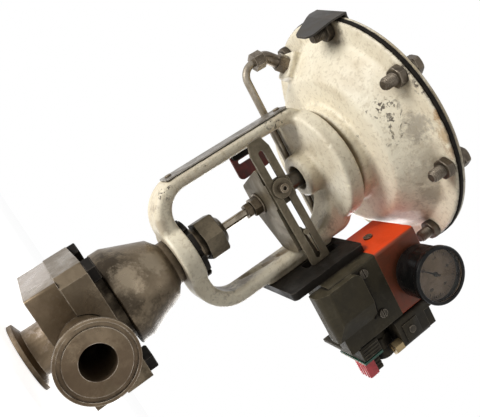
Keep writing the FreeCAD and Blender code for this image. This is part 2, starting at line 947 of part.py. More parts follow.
def yoke():
    """Cast yoke: bottom plate with a boss, two arms, disc with a hub and a spigot."""
    body = new_body("yoke")
    wide = s.yoke_half_width
    deep = s.yoke_half_depth
    pad(body, "XZ", -deep, deep, [[
        (-wide, s.yoke_seat, s.yoke_corner),
        (wide, s.yoke_seat, s.yoke_corner),
        (wide, yoke_disc_top - 2, s.yoke_corner / 2),
        (-wide, yoke_disc_top - 2, s.yoke_corner / 2),
    ]])
    half = s.yoke_window_half
    pocket(body, "XZ", -deep, deep, [[
        (-half, s.yoke_plate_top, s.yoke_window_corner),
        (half, s.yoke_plate_top, s.yoke_window_corner),
        (half, yoke_window_top, s.yoke_web_corner),
        (-half, yoke_window_top, s.yoke_window_corner / 2),
    ]])
    round_edges(body, s.yoke_edge, lambda edge: near(abs(edge.CenterOfMass.y), deep))
    revolve(body, [
        (0, yoke_hub_bottom),
        (s.yoke_hub_radius, yoke_hub_bottom, 3),
        (s.yoke_hub_radius, yoke_window_top, s.yoke_hub_blend),
        (s.yoke_disc_radius, s.yoke_top - s.yoke_disc_drop, 3),
        (s.yoke_disc_radius, yoke_disc_top),
        (s.yoke_spigot_radius, yoke_disc_top),
        (s.yoke_spigot_radius, s.yoke_top),
        (0, s.yoke_top),
    ])
    revolve(body, [
        (0, s.yoke_seat),
        (s.yoke_boss_radius, s.yoke_seat, 2),
        (s.yoke_boss_radius, s.yoke_plate_top),
        (0, s.yoke_plate_top),
    ])
    pad(body, "YZ", s.yoke_half_width - 2, mount_face,
        [rectangle(-deep + 2, deep - 2, s.pad_bottom, s.pad_top, s.yoke_edge)])
    pocket(body, "XY", s.yoke_seat, s.yoke_plate_top,
           circles=[(0, 0, s.thread_radius + s.static_gap)])
    pocket(body, "XY", yoke_hub_bottom, s.yoke_top, circles=[(0, 0, s.yoke_bore_radius)])
    screws = [(x, z, s.mount_screw_radius) for x, z in
              ((0, s.mount_screw_low), (0, s.mount_screw_high))]
    pocket(body, "YZ", case_left - s.mount_screw_length - s.screw_end_gap, mount_face,
           circles=screws)
    casing_screws = [(x, y, s.casing_screw_radius) for x, y in casing_screw_places()]
    hole_end = s.yoke_top - s.casing_screw_bite - s.screw_end_gap
    pocket(body, "XY", hole_end, s.yoke_top, circles=casing_screws)
    strip_screws_at = [(strip_middle(), z, s.strip_screw_radius) for z in strip_screw_levels()]
    strip_hole = s.strip_screw_length + s.screw_end_gap
    pocket(body, "YZ", -s.yoke_half_width, strip_hole - s.yoke_half_width, circles=strip_screws_at)
    bracket_screws_at = [(x, z, s.bracket_screw_radius) for x, z in bracket_screw_places()]
    bracket_hole = s.bracket_screw_length + s.screw_end_gap
    pocket(body, "XZ", deep - bracket_hole, deep, circles=bracket_screws_at)


def strip_middle():
    return (s.strip_back - s.strip_front) / 2


def strip_screw_levels():
    return (s.strip_bottom + s.strip_screw_inset, s.strip_top - s.strip_screw_inset)


def bracket_screw_places():
    x = (s.yoke_half_width + s.yoke_window_half) / -2
    inset = s.bracket_screw_inset
    return ((x, s.bracket_bottom + inset), (x, s.bracket_top - inset))


def casing_screw_places():
    reach = s.casing_screw_circle
    return [(reach * cosine(45 + 90 * step), reach * sine(45 + 90 * step)) for step in range(4)]


def yoke_lock_nut():
    """Slotted round nut that holds the yoke down on the bonnet."""
    body = new_body("yoke_lock_nut")
    revolve(body, ring(s.thread_radius + s.static_gap, s.ring_radius, s.yoke_plate_top, ring_top))
    bevel_edges(body, s.ring_thickness / 8, lambda edge: edge.BoundBox.XLength > float(s.ring_radius) * 1.5)
    half = s.ring_slot / 2
    slot = pocket(body, "XY", s.yoke_plate_top, ring_top,
                  [rectangle(s.ring_radius - s.ring_slot_depth, s.ring_radius + 1, -half, half)])
    around(body, slot, s.ring_slots)


def around(body, feature, count):
    """Repeat a feature round the body's Z axis."""
    pattern = body.newObject("PartDesign::PolarPattern", f"{body.Name}_pattern")
    pattern.Originals = [feature]
    pattern.Axis = (origin_feature(body, "Z_Axis"), [""])
    pattern.Angle = 360
    bind(pattern, "Occurrences", count)
    body.Tip = pattern
    return pattern


def name_strip():
    """Plain metal strip on the outer face of the -X arm."""
    body = new_body("name_strip")
    face = -s.yoke_half_width
    outline = rectangle(-s.strip_front, s.strip_back, s.strip_bottom, s.strip_top, 2)
    holes = [(strip_middle(), z, s.strip_screw_radius + s.static_gap) for z in strip_screw_levels()]
    pad(body, "YZ", face - s.strip_thickness, face, [outline], holes)


def strip_screws():
    """Two small screws with round heads that hold the strip."""
    body = new_body("strip_screws")
    face = -s.yoke_half_width
    plate = face - s.strip_thickness
    shanks = [(strip_middle(), z, s.strip_screw_radius - s.static_gap)
              for z in strip_screw_levels()]
    heads = [(strip_middle(), z, s.strip_head_radius) for z in strip_screw_levels()]
    pad(body, "YZ", plate, face + s.strip_screw_length, circles=shanks)
    pad(body, "YZ", plate - s.strip_head, plate, circles=heads)
    round_edges(body, s.strip_head / 2, lambda edge: near(edge.CenterOfMass.x, plate - s.strip_head))


def indicator_bracket():
    """Flat bracket on the back of the -X arm that carries the travel scale."""
    body = new_body("indicator_bracket")
    back = s.yoke_half_depth
    holes = [(x, z, s.bracket_screw_radius) for x, z in bracket_screw_places()]
    outline = [
        (-s.bracket_left, s.bracket_bottom, 3),
        (-s.bracket_right, s.bracket_bottom, 3),
        (-s.bracket_right, s.bracket_top, 3),
        (-s.bracket_left, s.bracket_top, 3),
    ]
    pad(body, "XZ", back, back + s.bracket_thickness, [outline], holes)


def indicator_plate():
    """Thin travel scale with a slot and rounded corners behind the bracket."""
    body = new_body("indicator_plate")
    face = s.yoke_half_depth + s.bracket_thickness
    slot_half = s.scale_slot_width / 2
    long_half = s.scale_slot_length / 2
    slot_middle = (s.scale_bottom + s.scale_top) / 2 - s.scale_slot_drop
    x = -s.scale_slot_x
    slot = rectangle(x - slot_half, x + slot_half,
                     slot_middle - long_half, slot_middle + long_half, slot_half * 0.9)
    outline = rectangle(-s.scale_left, -s.scale_right, s.scale_bottom, s.scale_top, 4)
    holes = [(px, z, s.bracket_screw_radius) for px, z in scale_screw_places()]
    pad(body, "XZ", face, face + s.scale_thickness, [outline, slot], holes)


def scale_screw_places():
    x = (s.scale_left + s.bracket_right) / -2
    inset = s.scale_screw_inset
    return ((x, s.bracket_bottom + inset), (x, s.bracket_top - inset))


def indicator_screws():
    """Screws of the bracket into the arm, heads at the back."""
    body = new_body("indicator_screws")
    back = s.yoke_half_depth
    face = back + s.bracket_thickness
    shank = s.bracket_screw_radius - s.static_gap
    places = bracket_screw_places()
    pad(body, "XZ", back - s.bracket_screw_length, face,
        circles=[(x, z, shank) for x, z in places])
    pad(body, "XZ", face, face + s.bracket_screw_head,
        circles=[(x, z, shank * 1.8) for x, z in places])


def casing_lower():
    """Lower casing: pad on the yoke, dished wall, bolted rim and air boss."""
    body = new_body("casing_lower")
    wall = s.casing_wall
    inner = casing_shoulder - casing_slant
    revolve(body, [
        (0, s.yoke_top),
        (s.casing_pad_radius, s.yoke_top, 3),
        (s.casing_pad_radius, casing_floor),
        (casing_floor_radius, casing_floor, s.casing_round),
        (casing_shoulder, lower_flange_bottom),
        (s.casing_radius, lower_flange_bottom, 1),
        (s.casing_radius, lower_flange_top),
        (0, lower_flange_top),
    ])
    pad(body, "XZ", s.air_line_y - s.boss_half, s.air_line_y + s.boss_half, [boss_outline()])
    groove(body, [
        (0, casing_floor + wall),
        (casing_floor_radius - wall / 2, casing_floor + wall, s.casing_round),
        (inner, lower_flange_bottom),
        (inner, lower_flange_top),
        (0, lower_flange_top),
    ])
    middle = s.bushing_radius + s.static_gap
    pocket(body, "XY", s.yoke_top, casing_floor + wall, circles=[(0, 0, middle)])
    holes = [(x, y, s.casing_screw_radius + s.bolt_hole_gap) for x, y in casing_screw_places()]
    pocket(body, "XY", s.yoke_top, casing_floor + wall, circles=holes)
    hole = pocket(body, "XY", lower_flange_bottom, lower_flange_top,
                  circles=[(*on_bolt_circle(casing_bolt_turns[0]), casing_hole)])
    around(body, hole, s.casing_bolts)
    air = s.tube_radius - s.tube_wall
    pocket(body, "YZ", -boss_face_x - 1, s.boss_bore_depth - boss_face_x,
           circles=[(s.air_line_y, boss_face_z + 1, air)])


def boss_outline():
    """Outline of the air boss in X and Z: its face leans 45 degrees outward."""
    along = s.boss_half_length * cosine(45)
    deep = s.boss_depth * cosine(45)
    return [
        (-boss_face_x - along, boss_face_z + along, 1),
        (-boss_face_x + along, boss_face_z - along, 1),
        (-boss_face_x + along + deep, boss_face_z - along + deep),
        (-boss_face_x - along + deep, boss_face_z + along + deep),
    ]


def on_bolt_circle(turn):
    return casing_bolt_circle * cosine(turn), casing_bolt_circle * sine(turn)


def casing_upper():
    """Upper casing: bolted rim and a low spring chamber with a vent on top."""
    body = new_body("casing_upper")
    wall = s.casing_wall
    shoulder = casing_shoulder - s.dome_shoulder_inset
    revolve(body, [
        (0, diaphragm_rim_top),
        (s.casing_radius, diaphragm_rim_top),
        (s.casing_radius, upper_flange_top, 1),
        (shoulder, upper_flange_top, 1),
        (casing_floor_radius, dome_top, s.casing_round),
        (0, dome_top),
    ])
    groove(body, [
        (0, diaphragm_rim_top),
        (shoulder - casing_slant, diaphragm_rim_top),
        (shoulder - casing_slant, upper_flange_top),
        (casing_floor_radius - wall / 2, dome_inner_top, s.casing_round),
        (0, dome_inner_top),
    ])
    hole = pocket(body, "XY", diaphragm_rim_top, upper_flange_top,
                  circles=[(*on_bolt_circle(casing_bolt_turns[0]), casing_hole)])
    around(body, hole, s.casing_bolts)
    pocket(body, "XY", dome_inner_top, dome_top, circles=[(0, 0, s.vent_radius)])


def casing_bolts():
    """Eight hexagon bolts, heads on the upper rim, ends below the lower rim."""
    body = new_body("casing_bolts")
    x, y = on_bolt_circle(casing_bolt_turns[0])
    end = lower_flange_bottom - s.casing_stud
    shank = pad(body, "XY", end, bolt_head_seat, circles=[
        (x, y, s.casing_bolt_radius)])
    around(body, shank, s.casing_bolts)
    bevel_edges(body, s.casing_bolt_radius / 6, lambda edge: flat_at(edge, end))
    head = pad(body, "XY", bolt_head_seat, bolt_head_seat + s.casing_head_height,
               [hexagon(x, y, s.casing_nut_across, 30 - s.casing_bolt_angle)])
    around(body, head, s.casing_bolts)


def casing_nuts():
    """Eight hexagon nuts under the lower rim, a flat turned to the wall."""
    body = new_body("casing_nuts")
    x, y = on_bolt_circle(casing_bolt_turns[0])
    nut = pad(body, "XY", lower_flange_bottom - s.casing_nut_height, lower_flange_bottom,
              [hexagon(x, y, s.casing_nut_across, 30 - s.casing_bolt_angle)],
              [(x, y, s.casing_bolt_radius + s.static_gap)])
    around(body, nut, s.casing_bolts)


def casing_washers():
    """Washers under the bolt heads, but for the bolt that holds the tag."""
    body = new_body("casing_washers")
    rings = []
    for turn in casing_bolt_turns:
        if turn is tag_turn:
            continue
        x, y = on_bolt_circle(turn)
        rings.append((x, y, s.casing_nut_across / 2 + 0.2))
        rings.append((x, y, s.casing_bolt_radius + s.static_gap))
    pad(body, "XY", upper_flange_top, bolt_head_seat, circles=rings)


def stem_bushing():
    """Bronze guide for the actuator stem in the lower casing."""
    body = new_body("stem_bushing")
    revolve(body, ring(s.actuator_stem_radius + s.running_gap, s.bushing_radius,
                       s.yoke_top, s.yoke_top + s.bushing_length))


def yoke_casing_screws():
    """Four socket screws inside the casing that hold it down on the yoke."""
    body = new_body("yoke_casing_screws")
    seat = casing_floor + s.casing_wall
    places = casing_screw_places()
    pad(body, "XY", s.yoke_top - s.casing_screw_bite, seat,
        circles=[(x, y, s.casing_screw_radius - s.static_gap) for x, y in places])
    pad(body, "XY", seat, seat + s.casing_screw_head,
        circles=[(x, y, s.casing_screw_head_radius) for x, y in places])


def vent_plug():
    """Vent with a mushroom cap on the upper casing."""
    body = new_body("vent_plug")
    neck = s.vent_radius - s.static_gap
    revolve(body, [
        (0, dome_inner_top),
        (neck, dome_inner_top),
        (neck, dome_top),
        (neck * 1.3, dome_top),
        (neck * 1.3, dome_top + 2),
        (s.vent_cap_radius, dome_top + 2, 1),
        (s.vent_cap_radius * 0.8, dome_top + s.vent_cap_height, 2),
        (0, dome_top + s.vent_cap_height),
    ])


def diaphragm():
    """Rubber diaphragm: clamped rim, one fold, flat middle under the plate."""
    body = new_body("diaphragm")
    rim = s.casing_radius + s.diaphragm_overhang
    inner = s.actuator_stem_radius + 1
    fold = (diaphragm_plate_radius + casing_shoulder) / 2
    fold_half = s.diaphragm_edge * 0.9
    crest = diaphragm_rim_top + 2
    clamped = casing_shoulder - casing_slant - 1
    revolve(body, [
        (inner, diaphragm_bottom),
        (diaphragm_plate_radius, diaphragm_bottom),
        (fold + fold_half, lower_flange_top - 1),
        (clamped, lower_flange_top),
        (rim, lower_flange_top, 0.8),
        (rim, diaphragm_rim_top, 0.8),
        (clamped, diaphragm_rim_top),
        (fold, crest - 1),
        (diaphragm_plate_radius - 1, diaphragm_top),
        (inner, diaphragm_top),
    ])
    hole = pocket(body, "XY", lower_flange_top, diaphragm_rim_top,
                  circles=[(*on_bolt_circle(casing_bolt_turns[0]), casing_hole)])
    around(body, hole, s.casing_bolts)


def diaphragm_plate():
    """Dished plate that spreads the spring's force over the diaphragm."""
    body = new_body("diaphragm_plate")
    bore = s.actuator_stem_radius - 1 + s.static_gap
    revolve(body, [
        (bore, diaphragm_top),
        (diaphragm_plate_radius, diaphragm_top, 2),
        (diaphragm_plate_radius, diaphragm_top + s.plate_rim),
        (diaphragm_plate_radius - 3, diaphragm_top + s.plate_rim),
        (diaphragm_plate_radius - 3, plate_top, 2),
        (bore, plate_top),
    ])


def spring():
    """Ring of coil springs between the diaphragm plate and the upper casing."""
    wire = float(s.spring_wire)
    low = float(plate_top) + wire + float(s.moving_gap)
    high = float(dome_inner_top) - wire - float(s.moving_gap)
    radius = float(s.spring_radius)
    helix = Part.makeHelix((high - low) / float(s.spring_turns), high - low, radius)
    start = FreeCAD.Vector(radius, 0, 0)
    section = Part.Wire(Part.makeCircle(wire, start, FreeCAD.Vector(0, 1, 0)))
    coil = Part.Wire(helix).makePipeShell([section], True, True)
    coils = []
    for step in range(int(float(s.springs))):
        place_of_coil = FreeCAD.Vector(float(s.spring_circle), 0, low)
        another = coil.translated(place_of_coil)
        another.rotate(FreeCAD.Vector(), FreeCAD.Vector(0, 0, 1), step * 360 / float(s.springs))
        coils.append(another)
    code_piece("spring", Part.makeCompound(coils))


def stem_top_nut():
    """Nut that clamps the diaphragm plate on the actuator stem."""
    body = new_body("stem_top_nut")
    pad(body, "XY", plate_top, plate_top + s.stem_nut_height, [hexagon(0, 0, s.stem_nut_across)],
        [(0, 0, s.actuator_stem_radius - 1 + s.static_gap)])


def tag_plate():
    """Bent plate under one rim bolt, tapering down outside the rim to a tongue."""
    body = new_body("tag_plate")
    outer = s.casing_radius + s.diaphragm_overhang + 1
    inner = casing_shoulder + s.tag_inset
    low = outer - s.tag_lean
    thick = s.tag_thickness
    pad(body, "XZ", -s.tag_left, s.tag_right, [[
        (inner, upper_flange_top),
        (outer, upper_flange_top),
        (outer, tag_bend),
        (low, tag_end),
        (low + thick, tag_end),
        (outer + thick, tag_bend),
        (outer + thick, bolt_head_seat, 1),
        (inner, bolt_head_seat),
    ]])
    pocket(body, "YZ", low - 2, outer + thick + 1, [[
        (-s.tag_left, tag_bend + s.tag_shoulder),
        (-s.tag_end_left, tag_end),
        (-s.tag_end_left, tag_end - 1),
        (-s.tag_left - 1, tag_end - 1),
        (-s.tag_left - 1, tag_bend + s.tag_shoulder),
    ]])
    pocket(body, "XY", upper_flange_top, bolt_head_seat,
           circles=[(casing_bolt_circle, 0, casing_hole)])
    round_edges(body, (s.tag_right + s.tag_end_left) * 0.4, at_tongue_corner)
    place(body, axis=(0, 0, 1), angle=tag_turn)


def at_tongue_corner(edge):
    """Whether an edge runs through the tag's thickness at its lower corners."""
    across = edge.CenterOfMass.y
    corner = near(across, s.tag_right) or near(across, -s.tag_end_left)
    return corner and flat_at(edge, tag_end)


def pipe(points, bends, radius):
    """Round bar through points, each corner with a bend of its own."""
    edges = []
    start = points[0]
    for before, corner, after, bend in zip(points, points[1:], points[2:], bends):
        arrive, middle, leave = rounding(before, corner, after, bend)
        edges.append(Part.LineSegment(start, arrive).toShape())
        edges.append(Part.Arc(arrive, middle, leave).toShape())
        start = leave
    edges.append(Part.LineSegment(start, points[-1]).toShape())
    section = Part.Wire(Part.makeCircle(radius, points[0], points[1] - points[0]))
    return Part.Wire(edges).makePipeShell([section], True, False)


def air_elbow():
    """Elbow fitting square on the casing's boss, with a hexagon and a tube nut."""
    y = float(s.air_line_y)
    run = float(s.elbow_run)
    across = float(s.fitting_across)
    nut_bottom = float(fitting_nut_bottom)
    face = FreeCAD.Vector(-float(boss_face_x), y, float(boss_face_z))
    corner = face + FreeCAD.Vector(-run, 0, -run)
    mouth = FreeCAD.Vector(corner.x, y, nut_bottom + 2)
    bar = pipe([face, corner, mouth], [float(s.elbow_bend)], float(s.elbow_radius))
    base = hexagon_prism(across, face, corner - face, float(s.elbow_base))
    nut_base = FreeCAD.Vector(corner.x, y, nut_bottom)
    upward = FreeCAD.Vector(0, 0, 1)
    nut = hexagon_prism(across, nut_base, upward, float(s.fitting_nut_height))
    hole_radius = float(s.tube_radius + s.static_gap)
    hole = Part.makeCylinder(hole_radius, float(s.tube_socket), nut_base)
    code_piece("air_elbow", bar.fuse([base, nut]).cut(hole).removeSplitter())


def hexagon_prism(across, base, direction, height):
    """Hexagonal bar from a base point along a direction."""
    reach = across / (2 * math.cos(math.radians(30)))
    corners = []
    for step in range(7):
        angle = math.radians(60 * step)
        corners.append(FreeCAD.Vector(reach * math.cos(angle), reach * math.sin(angle), 0))
    prism = Part.Face(Part.makePolygon(corners)).extrude(FreeCAD.Vector(0, 0, height))
    turn = FreeCAD.Rotation(FreeCAD.Vector(0, 0, 1), direction)
    prism.Placement = FreeCAD.Placement(base, turn)
    return prism


def air_tube():
    """Steel air tube from the elbow, behind the yoke, to the positioner."""
    y = float(s.air_line_y)
    z = float(s.air_line_z)
    left = -float(boss_face_x + s.elbow_run)
    right = float(s.rear_fitting_x)
    fitting_end = float(s.rear_fitting_reach - s.housing_back) - 5
    points = [
        FreeCAD.Vector(left, y, float(tube_top) - 0.5),
        FreeCAD.Vector(left, y, z),
        FreeCAD.Vector(right, y, z),
        FreeCAD.Vector(right, fitting_end, z),
    ]
    bends = [float(s.tube_first_bend), float(s.tube_bend)]
    outer = pipe(points, bends, float(s.tube_radius))
    inner = pipe(points, bends, float(s.tube_radius - s.tube_wall))
    code_piece("air_tube", outer.cut(inner))


def rear_fitting():
    """Straight fitting on the back of the positioner's housing."""
    body = new_body("rear_fitting")
    pad(body, "XY", 0, s.rear_fitting_reach,
        [hexagon(0, 0, s.fitting_across)])
    bevel_edges(body, s.fitting_across / 20, lambda edge: flat_at(edge, s.rear_fitting_reach))
    pocket(body, "XY", s.rear_fitting_reach - 6, s.rear_fitting_reach,
           circles=[(0, 0, s.tube_radius + s.static_gap)])
    place(body, s.rear_fitting_x, -s.housing_back, s.air_line_z, (1, 0, 0), -90)


def mounting_plate():
    """Plate between the yoke's pad and the positioner, with a lever window."""
    body = new_body("mounting_plate")
    outline = rectangle(-s.mount_front, s.mount_back, s.mount_bottom, s.mount_top, s.mount_round)
    window = rectangle(-s.lever_window_front, -s.lever_window_back,
                       s.lever_window_bottom, s.lever_window_top, 2)
    holes = [(0, z, s.mount_screw_radius + s.bolt_hole_gap)
             for z in (s.mount_screw_low, s.mount_screw_high)]
    pad(body, "YZ", mount_face, case_left, [outline, window], holes)


def mounting_screws():
    """Two socket screws through the plate into the yoke's pad."""
    body = new_body("mounting_screws")
    places = [(0, s.mount_screw_low), (0, s.mount_screw_high)]
    shank = s.mount_screw_radius - s.static_gap
    pad(body, "YZ", case_left - s.mount_screw_length, case_left,
        circles=[(y, z, shank) for y, z in places])
    pad(body, "YZ", case_left, case_left + s.mount_screw_head,
        circles=[(y, z, s.mount_screw_head_radius) for y, z in places])


def positioner_housing():
    """Painted housing of the positioner that carries the gauge."""
    body = new_body("positioner_housing")
    pad(body, "XY", s.housing_bottom, s.housing_top,
        [rectangle(case_left, s.case_right, -s.case_front, -s.housing_back, s.housing_round)])
    round_edges(body, s.housing_round / 2,
                lambda edge: flat_at(edge, s.housing_top) and edge.Length > 1)
    pocket(body, "YZ", case_left, case_left + s.housing_screw_length + s.screw_end_gap,
           circles=[(-s.housing_screw_y, s.housing_screw_z, s.housing_screw_radius)])
    pocket(body, "XZ", -s.case_front, s.gauge_stem_length + s.screw_end_gap - s.case_front,
           circles=[(s.gauge_x, s.gauge_z, s.gauge_stem_radius)])


def housing_screw():
    """Slotted screw on the housing's side face."""
    body = new_body("housing_screw")
    y = -s.housing_screw_y
    z = s.housing_screw_z
    shank = s.housing_screw_radius - s.static_gap
    head = case_left - s.housing_head
    half = s.housing_head_slot / 2
    pad(body, "YZ", case_left, case_left + s.housing_screw_length, circles=[(y, z, shank)])
    pad(body, "YZ", head, case_left, circles=[(y, z, s.housing_head_radius)])
    pocket(body, "YZ", head, head + s.housing_head / 2,
           [rectangle(y - s.housing_head_radius, y + s.housing_head_radius, z - half, z + half)])


def positioner_cover():
    """Moulded cover: flat frame, thin skirt and a raised dome with a facet."""
    body = new_body("positioner_cover")
    pad(body, "XY", s.cover_bottom, s.housing_bottom,
        [rectangle(case_left, s.case_right, -s.case_front, -s.cover_back, 2)])
    face = s.case_front
    side = s.case_right - s.cover_side_thickness
    pad(body, "XY", s.cover_skirt_bottom, s.cover_bottom + 1, [[
        (s.dome_left, -face),
        (s.case_right, -face, 0.8),
        (s.case_right, -s.cover_back, 0.8),
        (side, -s.cover_back),
        (side, -s.dome_back),
        (s.dome_left, -s.dome_back),
    ]])
    tip = face + s.dome_bulge
    pad(body, "YZ", s.dome_left, s.dome_right, [[
        (-s.dome_back, s.dome_low, 2),
        (-s.dome_back, s.dome_high),
        (-tip, s.dome_high),
        (-tip, s.dome_low + s.dome_slope, s.dome_slope / 2),
        (-face, s.dome_low, s.dome_round),
    ]])
    round_edges(body, s.dome_arc, at_dome_corner)
    pocket(body, "XY", s.dome_low, s.dome_high, [[
        (s.dome_right - s.dome_facet, -tip - 1),
        (s.dome_right + 1, -tip - 1),
        (s.dome_right + 1, -face - 0.2),
        (s.dome_right, -face - 0.2),
        (s.dome_right - s.dome_facet, -tip),
    ]])
    shaft = s.lever_shaft_radius + s.bush_wall + s.static_gap
    pocket(body, "XZ", -s.cover_back - s.lever_shaft_length - 2, -s.cover_back,
           circles=[(s.pivot_x, s.pivot_z, shaft)])
    screws = [(x, s.cover_screw_z, s.cover_screw_radius)
              for x in (s.cover_screw_left, s.cover_screw_right)]
    pocket(body, "XZ", -face, s.cover_screw_length + s.screw_end_gap - face, circles=screws)


def at_dome_corner(edge):
    """Whether an edge is the dome's upper corner on the side of the yoke."""
    middle = edge.CenterOfMass
    return straight_along(edge, "Y") and near(middle.x, s.dome_left) and near(middle.z, s.dome_high)


def cover_screws():
    """Two screws in the flat band of the cover."""
    body = new_body("cover_screws")
    places = [(x, s.cover_screw_z) for x in (s.cover_screw_left, s.cover_screw_right)]
    shank = s.cover_screw_radius - s.static_gap
    half = s.cover_head_slot / 2
    reach = s.cover_head_radius
    pad(body, "XZ", -s.case_front, s.cover_screw_length - s.case_front,
        circles=[(x, z, shank) for x, z in places])
    pad(body, "XZ", -s.case_front - s.cover_head, -s.case_front,
        circles=[(x, z, s.cover_head_radius) for x, z in places])
    pocket(body, "XZ", -s.case_front - s.cover_head, -s.case_front - s.cover_head / 2,
           [rectangle(x - reach, x + reach, z - half, z + half) for x, z in places])


def manifold_block():
    """Dark pneumatic block on the far side of the housing."""
    body = new_body("manifold_block")
    pad(body, "XY", s.manifold_bottom, s.manifold_top,
        [rectangle(s.case_right, s.manifold_right, -s.case_front, -s.manifold_back, 5)])
    pocket(body, "XY", s.manifold_bottom, s.manifold_bottom + s.brass_thread + s.screw_end_gap,
           circles=[(s.brass_x, -s.brass_y, s.brass_port)])
    pocket(body, "YZ", s.case_right + s.manifold_step, s.manifold_right,
           [rectangle(-s.case_front - 1, s.manifold_step_depth - s.case_front,
                      s.manifold_top - s.manifold_step, s.manifold_top + 1)])


def brass_fitting():
    """Brass connector screwed into the block from below."""
    body = new_body("brass_fitting")
    pad(body, "XY", s.brass_end, s.manifold_bottom,
        [hexagon(s.brass_x, -s.brass_y, s.brass_across)])
    pad(body, "XY", s.manifold_bottom, s.manifold_bottom + s.brass_thread,
        circles=[(s.brass_x, -s.brass_y, s.brass_port - s.static_gap)])
    pocket(body, "XY", s.brass_end, s.brass_end + s.brass_bore_depth,
           circles=[(s.brass_x, -s.brass_y, s.brass_across / 4)])


def terminal_block():
    """Dark terminal housing beside the cover."""
    body = new_body("terminal_block")
    pad(body, "XY", s.terminal_bottom, s.terminal_top,
        [rectangle(s.case_right, s.terminal_right, -s.case_front, -s.terminal_back, 2)])


def terminal_board():
    """Green board on the outer side of the terminal housing."""
    body = new_body("terminal_board")
    margin = s.board_margin
    pad(body, "YZ", s.terminal_right, board_face,
        [rectangle(-s.case_front, -s.board_back,
                   s.terminal_bottom - margin, s.terminal_top)])


def red_plug():
    """Red plug on the board."""
    body = new_body("red_plug")
    end = board_face + s.red_plug_reach
    pad(body, "YZ", board_face, end,
        [rectangle(-s.red_plug_front, -s.red_plug_back, s.red_plug_bottom, s.red_plug_top)])
    bevel_edges(body, s.red_plug_reach / 12,
                lambda edge: near(edge.BoundBox.XMin, end) and near(edge.BoundBox.XMax, end))


def black_connector():
    """Black connector on the board beside the red plug."""
    body = new_body("black_connector")
    end = board_face + s.connector_block_reach
    pad(body, "YZ", board_face, end,
        [rectangle(-s.connector_block_front, -s.connector_block_back,
                   s.connector_block_bottom, s.connector_block_top, 1)])
    wall = s.connector_block_wall
    pocket(body, "YZ", end - s.connector_block_pit, end,
           [rectangle(wall - s.connector_block_front, -s.connector_block_back - wall,
                      s.connector_block_bottom + wall, s.connector_block_top - wall)])


def cable_gland():
    """Round gland above the terminal housing, on the cover's side."""
    body = new_body("cable_gland")
    radius = s.gland_radius
    revolve(body, [
        (s.gland_bore, 0),
        (radius, 0),
        (radius, s.gland_reach * 0.4, 1),
        (radius * 0.8, s.gland_reach * 0.45),
        (radius * 0.8, s.gland_reach * 0.6),
        (radius, s.gland_reach * 0.65),
        (radius, s.gland_reach, 2),
        (s.gland_bore, s.gland_reach),
    ])
    place(body, s.case_right, -s.gland_y, s.gland_z, (0, 1, 0), 90)


def gauge_body(label):
    body = new_body(label)
    place(body, s.gauge_x, -s.case_front, s.gauge_z, (1, 0, 0), 90)
    return body


gauge_dial_level = s.gauge_gap + s.gauge_depth - s.gauge_pit
gauge_front = s.gauge_gap + s.gauge_depth


def gauge_case():
    """Round gauge case with its threaded stem in the housing."""
    body = gauge_body("gauge_case")
    stem = s.gauge_stem_radius - s.static_gap
    revolve(body, [
        (0, -s.gauge_stem_length),
        (stem, -s.gauge_stem_length),
        (stem, s.gauge_gap),
        (s.gauge_radius, s.gauge_gap, 3),
        (s.gauge_radius, gauge_front),
        (0, gauge_front),
    ])
    pocket(body, "XY", gauge_dial_level, gauge_front, circles=[(0, 0, s.gauge_radius - s.gauge_wall)])


def gauge_dial():
    """Flat dial at the bottom of the case's pit."""
    body = gauge_body("gauge_dial")
    pad(body, "XY", gauge_dial_level, gauge_dial_level + s.dial_thickness,
        circles=[(0, 0, s.gauge_radius - s.gauge_wall - s.static_gap)])


def gauge_glass():
    """Clear window of the gauge, held by the bezel."""
    body = gauge_body("gauge_glass")
    pad(body, "XY", gauge_front - s.glass_thickness, gauge_front,
        circles=[(0, 0, s.gauge_radius - s.gauge_wall - s.static_gap)])


def gauge_bezel():
    """Rolled ring over the edge of the case and the glass."""
    body = gauge_body("gauge_bezel")
    outer = s.gauge_radius + s.gauge_bezel_width
    inside = s.gauge_radius + s.static_gap
    back = gauge_front + s.gauge_bezel_width - s.gauge_bezel_depth
    revolve(body, [
        (inside, back),
        (outer, back),
        (outer, gauge_front + s.gauge_bezel_width, 1.2),
        (s.gauge_radius - s.gauge_lip, gauge_front + s.gauge_bezel_width, 0.6),
        (s.gauge_radius - s.gauge_lip, gauge_front),
        (inside, gauge_front),
    ])


def gauge_pointer():
    """Thin pointer that turns over the dial."""
    body = gauge_body("gauge_pointer")
    low = gauge_dial_level + s.dial_thickness + s.pointer_rise
    high = low + s.pointer_thickness
    along = cosine(s.pointer_angle)
    rise = sine(s.pointer_angle)
    tip = s.pointer_length
    tail = s.pointer_tail
    fine = s.pointer_tip
    blade = s.pointer_root
    pad(body, "XY", low, high, [[
        (tip * along - fine * rise, tip * rise + fine * along),
        (-tail * along - blade * rise, -tail * rise + blade * along),
        (-tail * along + blade * rise, -tail * rise - blade * along),
        (tip * along + fine * rise, tip * rise - fine * along),
    ]])
    pad(body, "XY", low, high + s.pointer_hub_rise, circles=[(0, 0, s.pointer_hub_radius)])


def valve_plug():
    """Plug with a tapered nose that closes on the seat ring."""
    body = new_body("valve_plug")
    gap = s.moving_gap
    seat = s.seat_top + gap
    revolve(body, [
        (0, s.plug_nose),
        (s.plug_nose_radius, s.plug_nose, 1.5),
        (s.seat_bore - gap, s.seat_top - s.seat_bevel),
        (s.plug_radius, seat + s.plug_radius - s.seat_bore - s.seat_bevel),
        (s.plug_radius, seat + s.plug_skirt),
        (s.plug_shank_radius, seat + s.plug_skirt + 4),
        (s.plug_shank_radius, s.plug_top),
        (0, s.plug_top),
    ])
    pocket(body, "XY", s.plug_top - s.plug_socket, s.plug_top,
           circles=[(0, 0, s.stem_radius + s.static_gap)])


